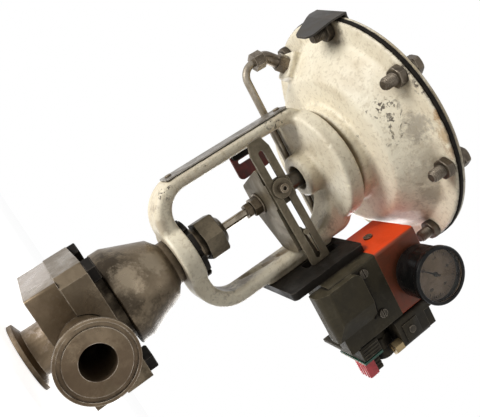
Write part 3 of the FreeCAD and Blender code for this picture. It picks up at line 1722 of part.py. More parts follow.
def valve_stem():
    """Polished valve stem from the plug to the stem connector."""
    body = new_body("valve_stem")
    revolve(body, [
        (0, s.plug_top - s.plug_socket),
        (s.stem_radius, s.plug_top - s.plug_socket),
        (s.stem_radius, stem_end),
        (0, stem_end),
    ])


def stem_lock_nuts():
    """Two different hexagon nuts locked against each other on the stem."""
    body = new_body("stem_lock_nuts")
    first_top = s.jam_nut_bottom + s.jam_nut_height
    second = first_top + s.lock_nut_gap
    top = second + s.lock_nut_height
    hole = [(0, 0, s.stem_radius + s.static_gap)]
    pad(body, "XY", s.jam_nut_bottom, first_top, [hexagon(0, 0, s.jam_nut_across, s.jam_nut_turn)],
        hole)
    pad(body, "XY", second, top, [hexagon(0, 0, s.lock_nut_across, s.lock_nut_turn)], hole)


def stem_washer():
    """Plain washer under the stem connector."""
    body = new_body("stem_washer")
    revolve(body, ring(s.stem_radius + s.static_gap, s.washer_radius,
                       s.connector_bottom - s.washer_thickness, s.connector_bottom))


def connector_plate():
    """Stem connector: shaped plate, clamping lug at the front, boss on top."""
    body = new_body("connector_plate")
    front = -s.connector_front
    reach = s.connector_reach
    pad(body, "XY", s.connector_bottom, connector_top, [[
        (-s.connector_left, front, 3),
        (reach, front, 3),
        (reach, -s.connector_side, 3),
        (reach - s.connector_slant, 0, 3),
        (s.connector_waist, s.connector_back, 4),
        (-s.connector_heel, s.connector_back, 4),
    ]])
    lug_top = s.connector_bottom + s.lug_height
    back = -s.slot_plate_back
    pad(body, "XZ", back, back + s.lug_depth, [[
        (-s.lug_left, s.connector_bottom),
        (s.lug_right, s.connector_bottom),
        (s.lug_right, lug_top, 4),
        (-s.lug_left, lug_top, 4),
    ]])
    pad(body, "XY", connector_top, connector_boss_top, circles=[(0, 0, s.connector_boss_radius)])
    pocket(body, "XY", s.connector_bottom, stem_end, circles=[(0, 0, s.stem_radius + s.static_gap)])
    pocket(body, "XY", actuator_stem_bottom, connector_boss_top,
           circles=[(0, 0, s.actuator_stem_radius + s.static_gap)])
    pocket(body, "XZ", back, back + s.lug_depth,
           circles=[(-s.slot_plate_x, s.clamp_screw_z, s.clamp_screw_radius + s.static_gap)])


def slotted_plate():
    """Slotted plate that takes the stem's travel to the feedback lever."""
    body = new_body("slotted_plate")
    half = s.slot_plate_width / 2
    slot = s.slot_width / 2
    left = -s.slot_plate_left
    shape = [
        (left, -half + 3, 2),
        (left + s.slot_plate_taper, -half, 2),
        (s.slot_plate_right, -half, 2),
        (s.slot_plate_right, half, 2),
        (left + s.slot_plate_taper, half, 2),
        (left, half - 3, 2),
    ]
    opening = rectangle(-s.slot_left, s.slot_right, -slot, slot, slot * 0.95)
    pad(body, "XZ", 0, s.slot_plate_thickness, [shape, opening])
    place(body, -s.slot_plate_x, -slot_plate_front, s.slot_plate_z, (0, -1, 0), s.slot_plate_tilt)


def clamp_disc():
    """Thick washer that clamps the slotted plate."""
    body = new_body("clamp_disc")
    revolve(body, ring(s.clamp_screw_radius + s.static_gap, s.clamp_disc_radius,
                       0, s.clamp_disc_thickness))
    place(body, -s.slot_plate_x, -slot_plate_front, s.clamp_screw_z, (1, 0, 0), 90)


def clamp_screw():
    """Socket head screw through disc and slot into the connector's lug."""
    body = new_body("clamp_screw")
    head = s.clamp_disc_thickness + s.clamp_head_height
    shank = -s.slot_plate_thickness - s.lug_depth + 0.5
    revolve(body, [
        (0, shank),
        (s.clamp_screw_radius, shank),
        (s.clamp_screw_radius, s.clamp_disc_thickness),
        (s.clamp_head_radius, s.clamp_disc_thickness),
        (s.clamp_head_radius, head, 0.4),
        (0, head),
    ])
    pocket(body, "XY", head - 2, head, [hexagon(0, 0, s.clamp_head_radius * 0.86)])
    place(body, -s.slot_plate_x, -slot_plate_front, s.clamp_screw_z, (1, 0, 0), 90)


def actuator_stem():
    """Actuator stem from the connector through the yoke to the diaphragm."""
    body = new_body("actuator_stem")
    end = plate_top + s.stem_nut_height + s.actuator_thread_end
    shoulder = diaphragm_bottom - s.actuator_shoulder_height
    thread = s.actuator_stem_radius - 1
    revolve(body, [
        (0, actuator_stem_bottom),
        (s.actuator_stem_radius, actuator_stem_bottom, 1),
        (s.actuator_stem_radius, shoulder),
        (s.actuator_shoulder_radius, shoulder),
        (s.actuator_shoulder_radius, diaphragm_bottom),
        (thread, diaphragm_bottom),
        (thread, end),
        (0, end),
    ])


def feedback_lever():
    """Lever with its follower pin in the slot and its shaft in the cover."""
    body = new_body("feedback_lever")
    rise = s.pivot_z - s.pin_z
    run = s.pivot_x - s.pin_x
    tilt = arctangent(rise, run)
    reach = run / cosine(tilt)
    half = s.lever_width / 2
    thick = s.lever_thickness
    pad(body, "XZ", 0, thick, [[
        (-reach - half + 0.5, -half, half * 0.9),
        (0, -half),
        (0, half),
        (-reach - half + 0.5, half, half * 0.9),
    ]])
    pad(body, "XZ", 0, thick, circles=[(0, 0, s.lever_hub_radius)])
    pad(body, "XZ", thick - s.lever_shaft_length, thick + 2,
        circles=[(0, 0, s.lever_shaft_radius)])
    pad(body, "XZ", s.lever_front - s.pin_end, 0, circles=[(-reach, 0, s.pin_radius)])
    place(body, s.pivot_x, -s.lever_front, s.pivot_z, (0, -1, 0), tilt)


def shaft_bush():
    """Bush in the cover that the lever's shaft turns in."""
    body = new_body("shaft_bush")
    inner = s.lever_shaft_radius + s.running_gap
    pad(body, "XZ", -s.cover_back - s.lever_shaft_length, -s.cover_back, circles=[
        (s.pivot_x, s.pivot_z, s.lever_shaft_radius + s.bush_wall),
        (s.pivot_x, s.pivot_z, inner),
    ])


SUB_PARTS = [
    valve_body, seat_ring, bonnet_gasket, bonnet, bonnet_bolts, packing_set, packing_follower,
    packing_nut, yoke, yoke_lock_nut, name_strip, strip_screws, indicator_bracket,
    indicator_plate, indicator_screws, casing_lower, casing_upper, casing_bolts, casing_nuts,
    casing_washers, stem_bushing, yoke_casing_screws, vent_plug, diaphragm, diaphragm_plate,
    spring, stem_top_nut, tag_plate, air_elbow, air_tube, rear_fitting, mounting_plate,
    mounting_screws, positioner_housing, housing_screw, positioner_cover, cover_screws,
    manifold_block, brass_fitting, terminal_block, terminal_board, red_plug, black_connector,
    cable_gland, gauge_case, gauge_dial, gauge_glass, gauge_bezel, gauge_pointer, valve_plug,
    valve_stem, stem_lock_nuts, stem_washer, connector_plate, slotted_plate, clamp_disc,
    clamp_screw, actuator_stem, feedback_lever, shaft_bush,
]


def check_document():
    """Stop when an object failed, or a piece has no sound shape."""
    for item in document.Objects:
        if "Invalid" in item.State or "Error" in item.State:
            raise ValueError(f"{item.Name} failed: {item.State}")
    for piece in pieces:
        if piece.Shape.isNull() or not piece.Shape.isValid() or not piece.Shape.Solids:
            raise ValueError(f"{piece.Label} has no valid shape")


for make_sub_part in SUB_PARTS:
    make_sub_part()
document.recompute()
check_document()
os.makedirs("parts", exist_ok=True)
for piece in pieces:
    piece.Shape.exportStep(f"parts/{piece.Label}.step")
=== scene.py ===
import math

import bmesh
import bpy
from mathutils import Matrix, Vector, noise


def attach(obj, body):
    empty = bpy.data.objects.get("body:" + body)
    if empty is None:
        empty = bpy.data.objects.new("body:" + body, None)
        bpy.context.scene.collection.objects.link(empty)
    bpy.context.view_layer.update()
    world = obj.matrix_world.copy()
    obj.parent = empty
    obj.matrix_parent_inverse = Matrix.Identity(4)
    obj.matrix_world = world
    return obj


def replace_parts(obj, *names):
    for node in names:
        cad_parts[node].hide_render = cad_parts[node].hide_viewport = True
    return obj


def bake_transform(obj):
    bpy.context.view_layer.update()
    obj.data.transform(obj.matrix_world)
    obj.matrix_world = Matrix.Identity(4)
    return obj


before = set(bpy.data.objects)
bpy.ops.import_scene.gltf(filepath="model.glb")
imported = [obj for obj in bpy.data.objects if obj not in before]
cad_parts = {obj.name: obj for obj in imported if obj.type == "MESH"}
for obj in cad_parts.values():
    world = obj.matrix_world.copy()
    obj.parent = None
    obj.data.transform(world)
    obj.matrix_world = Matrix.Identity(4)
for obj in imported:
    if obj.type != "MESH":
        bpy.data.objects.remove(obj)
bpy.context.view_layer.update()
mm = 0.001

# Photograph's viewpoint. The valve lies across the picture, so the camera is rolled
# and looks slightly up the stem from beside the two ferrules.
CAMERA_PLACE = Vector((-121.5, -422.2, 47.9)) * mm
camera_data = bpy.data.cameras.new("camera")
camera_data.lens = 45
camera_data.sensor_width = 36
camera_data.clip_start = 0.01
camera = bpy.data.objects.new("camera", camera_data)
right = Vector((0.4672, -0.3853, 0.7958)).normalized()
forward = Vector((0.2539, 0.9206, 0.2967)).normalized()
up = right.cross(forward).normalized()
turn = Matrix((right, up, -forward)).transposed().to_4x4()
camera.matrix_world = Matrix.Translation(CAMERA_PLACE) @ turn
bpy.context.collection.objects.link(camera)
bpy.context.scene.camera = camera
bpy.context.scene.view_settings.view_transform = "Standard"

# Studio light. The wide main lamp is low on the -X side, under the casing. Two weaker
# lamps stand above and behind, and a pale world fills the shade.
KEY_PLACE = Vector((-1.0, -0.15, -0.6))
TOP_PLACE = Vector((0.2, -0.6, 1.5))
BACK_PLACE = Vector((0.95, 1.1, 0.5))
AIM = Vector((0.0, 0.0, 0.19))


def area_lamp(name, place, size, power):
    data = bpy.data.lights.new(name, "AREA")
    data.shape = "DISK"
    data.size = size
    data.energy = power
    lamp = bpy.data.objects.new(name, data)
    lamp.location = place
    lamp.rotation_mode = "QUATERNION"
    lamp.rotation_quaternion = (AIM - place).to_track_quat("-Z", "Y")
    bpy.context.collection.objects.link(lamp)


area_lamp("key_lamp", KEY_PLACE, size=0.7, power=16.5)
area_lamp("top_lamp", TOP_PLACE, size=1.2, power=4)
area_lamp("back_lamp", BACK_PLACE, size=1.0, power=12)


def add_node(tree, kind, **settings):
    """New node with its properties set."""
    node = tree.nodes.new(kind)
    for name, value in settings.items():
        setattr(node, name, value)
    return node


def feed(tree, target, value):
    """Give an input a constant, or link another node's output to it."""
    if isinstance(value, bpy.types.NodeSocket):
        tree.links.new(value, target)
    elif target.type == "RGBA":
        target.default_value = (*value, 1)
    else:
        target.default_value = value


def maths(tree, operation, first, second=0.0, clamp=False):
    node = add_node(tree, "ShaderNodeMath", operation=operation, use_clamp=clamp)
    feed(tree, node.inputs[0], first)
    feed(tree, node.inputs[1], second)
    return node.outputs[0]


def mix_shaders(tree, factor, first, second):
    node = add_node(tree, "ShaderNodeMixShader")
    for socket, value in zip(node.inputs, (factor, first, second)):
        feed(tree, socket, value)
    return node.outputs[0]


def seen_directly(tree, rays):
    """1 for the camera, for mirror reflections and for what glass lets through."""
    seen = maths(tree, "MAXIMUM", rays.outputs["Is Camera Ray"], rays.outputs["Is Glossy Ray"])
    return maths(tree, "MAXIMUM", seen, rays.outputs["Is Transmission Ray"])


FILL = 0.16
world = bpy.data.worlds.new("world")
bpy.context.scene.world = world
world.use_nodes = True
tree = world.node_tree
tree.nodes.clear()
rays = add_node(tree, "ShaderNodeLightPath")
fill = add_node(tree, "ShaderNodeBackground")
feed(tree, fill.inputs["Strength"], FILL)
white = add_node(tree, "ShaderNodeBackground")
for background in (fill, white):
    feed(tree, background.inputs["Color"], (1, 1, 1))
chosen = mix_shaders(tree, seen_directly(tree, rays), fill.outputs[0], white.outputs[0])
feed(tree, add_node(tree, "ShaderNodeOutputWorld").inputs[0], chosen)

# Pale floor just under the inlet ferrule. It lets the low lamp through, can be seen
# through from below, and still takes the valve's shadow.
FLOOR_HALF = 6.0
FLOOR_LEVEL = -0.4 * mm
FLOOR_GLOW = 0.82
floor_mesh = bpy.data.meshes.new("floor")
corners = [(-1, -1), (1, -1), (1, 1), (-1, 1)]
places = [(x * FLOOR_HALF, y * FLOOR_HALF, FLOOR_LEVEL) for x, y in corners]
floor_mesh.from_pydata(places, [], [(0, 1, 2, 3)])
floor = bpy.data.objects.new("floor", floor_mesh)
bpy.context.collection.objects.link(floor)
floor_paint = bpy.data.materials.new("floor_paint")
floor_paint.use_nodes = True
tree = floor_paint.node_tree
tree.nodes.clear()
rays = add_node(tree, "ShaderNodeLightPath")
side = add_node(tree, "ShaderNodeNewGeometry")
matt = add_node(tree, "ShaderNodeBsdfDiffuse")
feed(tree, matt.inputs["Color"], (0.93, 0.93, 0.93))
glow = add_node(tree, "ShaderNodeEmission")
feed(tree, glow.inputs["Strength"], FLOOR_GLOW)
pale = add_node(tree, "ShaderNodeAddShader")
feed(tree, pale.inputs[0], matt.outputs[0])
feed(tree, pale.inputs[1], glow.outputs[0])
floor_look = mix_shaders(tree, seen_directly(tree, rays), matt.outputs[0], pale.outputs[0])
open_side = maths(tree, "MAXIMUM", rays.outputs["Is Shadow Ray"], side.outputs["Backfacing"])
through = add_node(tree, "ShaderNodeBsdfTransparent")
whole = mix_shaders(tree, open_side, floor_look, through.outputs[0])
feed(tree, add_node(tree, "ShaderNodeOutputMaterial").inputs["Surface"], whole)
floor_mesh.materials.append(floor_paint)

# Valve body: a square stainless casting with a clamp ferrule below and one in front.
# The block's cloudy tones are heat colour and oil; a pale patch on its -X side is painted light,
# and dark patches on its -Y face and on the outlet ferrule's face are painted shade. The ferrules
# and their necks are turned.
VALUE = "NodeSocketFloat"
VECTOR = "NodeSocketVector"
FIRST_COLOUR, SECOND_COLOUR, MIXED_COLOUR = 6, 7, 2
SAME_POINT = 0.001 * mm


def new_group(name, inputs, output):
    """Empty shader group: its tree, the sockets it is given and the one it gives."""
    tree = bpy.data.node_groups.new(name, "ShaderNodeTree")
    for label, kind, start in inputs:
        socket = tree.interface.new_socket(label, in_out="INPUT", socket_type=kind)
        socket.default_value = start
    tree.interface.new_socket(output, in_out="OUTPUT", socket_type=VALUE)
    given = tree.nodes.new("NodeGroupInput").outputs
    wanted = tree.nodes.new("NodeGroupOutput").inputs[output]
    return tree, given, wanted


def vector_maths(tree, operation, first, second=(0.0, 0.0, 0.0)):
    node = add_node(tree, "ShaderNodeVectorMath", operation=operation)
    feed(tree, node.inputs[0], first)
    feed(tree, node.inputs[1], second)
    return node


def between(tree, value, low, high):
    """Smooth step from 0 at low to 1 at high."""
    node = add_node(tree, "ShaderNodeMapRange", interpolation_type="SMOOTHSTEP")
    for label, item in (("Value", value), ("From Min", low), ("From Max", high)):
        feed(tree, node.inputs[label], item)
    return node.outputs[0]


def blend_colours(tree, factor, first, second):
    node = add_node(tree, "ShaderNodeMix", data_type="RGBA")
    feed(tree, node.inputs["Factor"], factor)
    feed(tree, node.inputs[FIRST_COLOUR], first)
    feed(tree, node.inputs[SECOND_COLOUR], second)
    return node.outputs[MIXED_COLOUR]


def tint(tree, base, mask, share, colour):
    """Lay a colour over the base where the mask is, at part strength."""
    return blend_colours(tree, maths(tree, "MULTIPLY", mask, share), base, colour)


def grains(tree, place, scale, detail=4.0, rough=0.5, warp=0.0):
    node = add_node(tree, "ShaderNodeTexNoise")
    for label, item in (("Vector", place), ("Scale", scale), ("Detail", detail),
                        ("Roughness", rough), ("Distortion", warp)):
        feed(tree, node.inputs[label], item)
    return node.outputs["Fac"]


def object_place(tree):
    return add_node(tree, "ShaderNodeTexCoord").outputs["Object"]


# Soft cloudy mask: oil, heat colour, hand dirt.
tree, given, wanted = new_group(
    "clouds",
    [("Scale", VALUE, 30.0), ("Shift", VALUE, 0.0), ("Low", VALUE, 0.4),
     ("High", VALUE, 0.6)],
    "Mask")
moved = vector_maths(tree, "ADD", object_place(tree), given["Shift"]).outputs[0]
cloud = grains(tree, moved, given["Scale"], detail=6.0, rough=0.62, warp=0.6)
feed(tree, wanted, between(tree, cloud, given["Low"], given["High"]))

# Mask of outer edges, for wear where handling rubs a finish off, and on dark mouldings partly for
# painted highlight. It breaks up along the edge.
tree, given, wanted = new_group(
    "edge_wear_and_highlight",
    [("Reach", VALUE, 0.001), ("Broken", VALUE, 60.0), ("Amount", VALUE, 1.0)],
    "Mask")
rounded = add_node(tree, "ShaderNodeBevel", samples=4)
feed(tree, rounded.inputs["Radius"], given["Reach"])
flat = add_node(tree, "ShaderNodeNewGeometry").outputs["Normal"]
turned = vector_maths(tree, "DOT_PRODUCT", rounded.outputs[0], flat).outputs["Value"]
edge = between(tree, maths(tree, "SUBTRACT", 1.0, turned), 0.004, 0.12)
hollow = add_node(tree, "ShaderNodeAmbientOcclusion", samples=4)
feed(tree, hollow.inputs["Distance"], 4 * mm)
outer = between(tree, hollow.outputs["AO"], 0.45, 0.75)
broken = grains(tree, object_place(tree), given["Broken"], detail=5.0, rough=0.7)
patches = between(tree, broken, 0.38, 0.6)
mask = maths(tree, "MULTIPLY", maths(tree, "MULTIPLY", edge, outer), patches)
feed(tree, wanted, maths(tree, "MULTIPLY", mask, given["Amount"], clamp=True))

# Mask of corners and hollows, for painted shade there. Its edge is made ragged by noise.
tree, given, wanted = new_group(
    "painted_corner_shade",
    [("Reach", VALUE, 0.01), ("Amount", VALUE, 1.0), ("Scale", VALUE, 90.0)],
    "Mask")
hollow = add_node(tree, "ShaderNodeAmbientOcclusion", samples=6)
feed(tree, hollow.inputs["Distance"], given["Reach"])
depth = maths(tree, "SUBTRACT", 1.0, hollow.outputs["AO"])
spread = grains(tree, object_place(tree), given["Scale"], detail=5.0, rough=0.65)
ragged = maths(tree, "ADD", depth, maths(tree, "SUBTRACT", spread, 0.5))
feed(tree, wanted, between(tree, maths(tree, "MULTIPLY", ragged, given["Amount"]), 0.18, 0.75))

# One ragged spot, used for stains, scuffed places and patches of painted light and shade: 1 at its
# middle, 0 past its reach.
tree, given, wanted = new_group(
    "ragged_spot",
    [("Place", VECTOR, (0.0, 0.0, 0.0)), ("Reach", VALUE, 0.02), ("Ragged", VALUE, 0.6)],
    "Mask")
place = object_place(tree)
away = vector_maths(tree, "DISTANCE", place, given["Place"]).outputs["Value"]
frayed = maths(tree, "SUBTRACT", grains(tree, place, 150.0, detail=6.0, rough=0.75), 0.5)
frayed = maths(tree, "MULTIPLY", maths(tree, "MULTIPLY", frayed, given["Ragged"]), 3.0)
share = maths(tree, "ADD", maths(tree, "DIVIDE", away, given["Reach"]), frayed)
feed(tree, wanted, maths(tree, "SUBTRACT", 1.0, between(tree, share, 0.35, 1.0)))

# Skin of a sand casting: fine grain over shallow dents.
tree, given, wanted = new_group(
    "cast_skin", [("Grain", VALUE, 900.0), ("Dents", VALUE, 70.0)], "Height")
place = object_place(tree)
grain = maths(tree, "MULTIPLY", grains(tree, place, given["Grain"], detail=3.0, rough=0.6), 0.35)
dents = grains(tree, place, given["Dents"], detail=3.0, rough=0.5)
feed(tree, wanted, maths(tree, "ADD", grain, dents))

# Rings left by a lathe round a line along Z, or along Y where Lying is 1.
tree, given, wanted = new_group(
    "turned_rings",
    [("Centre", VECTOR, (0.0, 0.0, 0.0)), ("Lying", VALUE, 0.0), ("Pitch", VALUE, 2500.0)],
    "Height")
offset = vector_maths(tree, "SUBTRACT", object_place(tree), given["Centre"]).outputs[0]
parts = add_node(tree, "ShaderNodeSeparateXYZ")
feed(tree, parts.inputs[0], offset)
standing = maths(tree, "SUBTRACT", 1.0, given["Lying"])
along = maths(tree, "ADD", maths(tree, "MULTIPLY", parts.outputs["Z"], standing),
              maths(tree, "MULTIPLY", parts.outputs["Y"], given["Lying"]))
across = maths(tree, "ADD", maths(tree, "MULTIPLY", parts.outputs["Y"], standing),
               maths(tree, "MULTIPLY", parts.outputs["Z"], given["Lying"]))
flat_offset = add_node(tree, "ShaderNodeCombineXYZ")
feed(tree, flat_offset.inputs[0], parts.outputs["X"])
feed(tree, flat_offset.inputs[1], across)
radius = vector_maths(tree, "LENGTH", flat_offset.outputs[0]).outputs["Value"]
rings = add_node(tree, "ShaderNodeCombineXYZ")
feed(tree, rings.inputs[0], radius)
feed(tree, rings.inputs[1], along)
feed(tree, wanted, grains(tree, rings.outputs[0], given["Pitch"], detail=3.0, rough=0.6))


def use_group(tree, name, **values):
    """Place a group with its own values."""
    node = add_node(tree, "ShaderNodeGroup")
    node.node_tree = bpy.data.node_groups[name]
    for label, value in values.items():
        feed(tree, node.inputs[label], value)
    return node.outputs[0]


def new_finish(name, metallic=0.0, gloss=0.5, rough=0.5):
    """Material with a bare Principled shader, ready for its own nodes."""
    material = bpy.data.materials.new(name)
    material.use_nodes = True
    tree = material.node_tree
    shader = tree.nodes["Principled BSDF"]
    shader.inputs["Metallic"].default_value = metallic
    shader.inputs["Specular IOR Level"].default_value = gloss
    shader.inputs["Roughness"].default_value = rough
    return material, tree, shader


def uneven(tree, mask, low, more):
    """A value that is low and rises by more where the mask is 1."""
    return maths(tree, "ADD", low, maths(tree, "MULTIPLY", mask, more))


def bump(tree, shader, height, distance):
    node = add_node(tree, "ShaderNodeBump")
    feed(tree, node.inputs["Height"], height)
    feed(tree, node.inputs["Distance"], distance)
    feed(tree, shader.inputs["Normal"], node.outputs[0])


def add_stains_and_painted_light(tree, base, stains_and_painted_light):
    """Lay ragged stains and patches of painted light and shade over the base, each with its place,
    reach, strength and colour.
    """
    for spot, reach, share, colour in stains_and_painted_light:
        mask = use_group(tree, "ragged_spot", Place=Vector(spot) * mm, Reach=reach * mm, Ragged=0.8)
        base = tint(tree, base, mask, share, colour)
    return base


def wear_and_highlight_edges(tree, base, colour, reach, broken, amount):
    """Show another colour on the outer edges: wear where handling took the finish away, and on
    dark mouldings partly painted highlight.
    """
    edge_mask = use_group(tree, "edge_wear_and_highlight", Reach=reach * mm, Broken=broken, Amount=amount)
    return blend_colours(tree, edge_mask, base, colour)


def dull_patches(tree, shader, clouds, corner, low, more):
    """Roughness that rises with the clouds, and again in the corners and hollows that get painted
    shade.
    """
    dull = maths(tree, "ADD", uneven(tree, clouds, low, more),
                 maths(tree, "MULTIPLY", corner, 0.3), clamp=True)
    feed(tree, shader.inputs["Roughness"], dull)


CORNER_SHADE_BLACK = (0.018, 0.013, 0.008)


def steel_finish(name, tones, rough, corner_shade, relief, metallic, cloud, shift=0.0, stains_and_painted_light=(),
                 gloss=0.5):
    """Worn steel: two cloudy tones, stains and patches of painted light and shade, painted shade
    in corners and bright rubbed edges.
    """
    dark, mid, bright = tones
    material, tree, shader = new_finish(name, metallic, gloss)
    clouds = use_group(tree, "clouds", Scale=cloud, Shift=shift, Low=0.36, High=0.64)
    specks = use_group(tree, "clouds", Scale=cloud * 7, Shift=shift + 3.1, Low=0.42, High=0.7)
    base = tint(tree, mid, clouds, 0.75, dark)
    base = tint(tree, base, specks, 0.4, dark)
    base = add_stains_and_painted_light(tree, base, stains_and_painted_light)
    base = wear_and_highlight_edges(tree, base, bright, reach=0.9, broken=70.0, amount=0.9)
    # Painted shade: corners and hollows darkened nearly to black.
    corner = use_group(tree, "painted_corner_shade", Reach=12 * mm, Amount=corner_shade, Scale=110.0)
    base = tint(tree, base, corner, 0.85, CORNER_SHADE_BLACK)
    feed(tree, shader.inputs["Base Color"], base)
    low, high = rough
    dull_patches(tree, shader, clouds, corner, low, high - low)
    height, distance = relief(tree)
    bump(tree, shader, height, distance)
    return material


def paint(node, material):
    """Give a CAD piece its finish."""
    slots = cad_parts[node].data.materials
    if not slots:
        slots.append(material)
    for index in range(len(slots)):
        slots[index] = material


def crisp(node, width):
    """Break a CAD piece's sharp edges so that they catch the light."""
    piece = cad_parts[node]
    weld = piece.modifiers.new("weld", "WELD")
    weld.merge_threshold = SAME_POINT
    bevel = piece.modifiers.new("bevel", "BEVEL")
    bevel.width = width
    bevel.segments = 2
    bevel.limit_method = "ANGLE"
    bevel.angle_limit = math.radians(40)
    bevel.harden_normals = True


OUTLET_CENTRE = (0.0, 0.0, 38.9 * mm)


def body_relief(tree):
    """Cast skin on the block, lathe rings on the two ferrules and their necks."""
    parts = add_node(tree, "ShaderNodeSeparateXYZ")
    feed(tree, parts.inputs[0], object_place(tree))
    inlet = maths(tree, "LESS_THAN", parts.outputs["Z"], 20.5 * mm)
    outlet = maths(tree, "LESS_THAN", parts.outputs["Y"], -45.2 * mm)
    cast = maths(tree, "MULTIPLY", use_group(tree, "cast_skin", Grain=1300.0, Dents=130.0), 0.9)
    upright = use_group(tree, "turned_rings", Pitch=2300.0)
    lying = use_group(tree, "turned_rings", Centre=OUTLET_CENTRE, Lying=1.0, Pitch=2300.0)
    below = maths(tree, "MULTIPLY", upright, maths(tree, "MULTIPLY", inlet, 0.3))
    in_front = maths(tree, "MULTIPLY", lying, maths(tree, "MULTIPLY", outlet, 0.3))
    rings = maths(tree, "ADD", below, in_front)
    turned = maths(tree, "MAXIMUM", inlet, outlet)
    flat = maths(tree, "MULTIPLY", cast, maths(tree, "SUBTRACT", 1.0, turned))
    return maths(tree, "ADD", flat, rings), 0.2 * mm


cast_steel = steel_finish(
    "cast_steel", ((0.085, 0.06, 0.035), (0.24, 0.178, 0.113), (0.7, 0.61, 0.5)),
    rough=(0.26, 0.5), corner_shade=0.85, relief=body_relief, metallic=0.65,
    cloud=20.0, gloss=0.35, stains_and_painted_light=(
        # The first, pale patch is painted light on the -X side; the other four are painted shade
        # on the -Y faces.
        ((-43, 10, 40), 50, 0.8, (0.4, 0.34, 0.29)),
        ((-30, -44.5, 50), 26, 0.6, (0.1, 0.068, 0.036)),
        ((20, -44.5, 55), 30, 0.75, (0.07, 0.05, 0.03)),
        ((0, -87.2, 20), 30, 0.7, (0.1, 0.066, 0.038)),
        ((14, -87.2, 55), 22, 0.6, (0.11, 0.073, 0.045))))
paint("valve_body", cast_steel)
crisp("valve_body", 0.4 * mm)


# Seat ring, plug and stem: turned from stainless bar, polished where the packing rubs.
# The ring is let into the body, and the plug sits a hair above it when the valve is shut.
def ring_relief(distance, **values):
    return lambda tree: (use_group(tree, "turned_rings", **values), distance)


polished_steel = steel_finish(
    "polished_steel", ((0.13, 0.1, 0.07), (0.36, 0.31, 0.24), (0.68, 0.62, 0.54)),
    rough=(0.16, 0.34), corner_shade=0.7, relief=ring_relief(0.04 * mm, Pitch=3500.0), metallic=0.95,
    cloud=60.0)
for node in ("seat_ring", "valve_plug", "valve_stem"):
    paint(node, polished_steel)


# Bonnet gasket: a flat ring of dark pressed fibre, cut from sheet. The bonnet's bolts
# squeeze it between the body's hub and the bonnet.
def mottled(tree, shader, first, second, **clouding):
    """Base colour that drifts between two tones. Gives back the mask it drifts by."""
    mask = use_group(tree, "clouds", **clouding)
    feed(tree, shader.inputs["Base Color"], blend_colours(tree, mask, first, second))
    return mask


material, tree, shader = new_finish("gasket_fibre", gloss=0.3, rough=0.85)
fibres = mottled(tree, shader, (0.02, 0.02, 0.02), (0.06, 0.055, 0.05), Scale=260.0,
                 Low=0.3, High=0.7)
bump(tree, shader, fibres, 0.1 * mm)
paint("bonnet_gasket", material)


# Bonnet: a chamfered square flange and a bell that narrows to the yoke's seat. It is
# cast like the body. Dark patches round the bell's base and a wide one on its +X side are painted
# shade, and two lighter patches on its -X side are painted light.
def cast_relief(distance, grain=1400.0, dents=160.0):
    return lambda tree: (use_group(tree, "cast_skin", Grain=grain, Dents=dents), distance)


BELL_BASE_SHADE = (0.03, 0.021, 0.013)
bonnet_steel = steel_finish(
    "bonnet_steel", ((0.11, 0.083, 0.053), (0.2, 0.155, 0.103), (0.55, 0.47, 0.37)),
    rough=(0.24, 0.46), corner_shade=1.0, relief=cast_relief(0.26 * mm, grain=1200.0, dents=120.0),
    metallic=0.6, cloud=26.0, shift=4.7, gloss=0.2,
    stains_and_painted_light=(
        # Painted shade round the bell's base and on its +X side, then painted light on its -X
        # side.
        ((-28, -26, 74), 22, 0.85, BELL_BASE_SHADE),
        ((-6, -38, 72), 16, 0.7, BELL_BASE_SHADE),
        ((36, -18, 80), 42, 0.8, (0.05, 0.036, 0.021)),
        ((-16, -32, 82), 15, 0.75, (0.42, 0.34, 0.24)),
        ((-14, -22, 104), 13, 0.6, (0.34, 0.28, 0.2))))
paint("bonnet", bonnet_steel)
crisp("bonnet", 0.4 * mm)

# Bonnet bolts: four hexagon bolts of blackened steel, one in each corner of the
# flange. They pull the bonnet down on the body.
black_steel = steel_finish(
    "black_steel", ((0.006, 0.005, 0.004), (0.02, 0.017, 0.014), (0.13, 0.11, 0.09)),
    rough=(0.38, 0.6), corner_shade=0.9, relief=cast_relief(0.08 * mm), metallic=0.3,
    cloud=50.0, gloss=0.12)
paint("bonnet_bolts", black_steel)
crisp("bonnet_bolts", 0.4 * mm)

# Packing: pale sealing rings round the stem, a turned follower on top of them, and
# the large hexagon nut of dull steel that presses both down.
material, tree, shader = new_finish("packing_rings", rough=0.45)
mottled(tree, shader, (0.75, 0.74, 0.7), (0.6, 0.58, 0.52), Scale=120.0, Low=0.3, High=0.7)
bump(tree, shader, use_group(tree, "turned_rings", Pitch=900.0), 0.2 * mm)
paint("packing_set", material)
turned_steel = steel_finish(
    "turned_steel", ((0.07, 0.052, 0.033), (0.24, 0.19, 0.13), (0.56, 0.48, 0.38)),
    rough=(0.24, 0.46), corner_shade=0.9, relief=ring_relief(0.06 * mm, Pitch=2200.0), metallic=0.8,
    cloud=45.0)
paint("packing_follower", turned_steel)
nut_steel = steel_finish(
    "nut_steel", ((0.055, 0.042, 0.025), (0.145, 0.115, 0.073), (0.43, 0.36, 0.26)),
    rough=(0.32, 0.52), corner_shade=0.9, relief=cast_relief(0.12 * mm), metallic=0.6,
    cloud=55.0, shift=2.2)
paint("packing_nut", nut_steel)
crisp("packing_nut", 0.5 * mm)

# Yoke: one iron casting in thick cream paint. Its corners are blended, its skin is
# uneven, and the +X arm's inner face has two shallow hollows where oil collects.
CREAM = (0.88, 0.8, 0.62)
CREAM_AGED = (0.66, 0.56, 0.4)
CREAM_CORNER_SHADE = (0.2, 0.145, 0.085)
CHIPPED = (0.07, 0.05, 0.035)


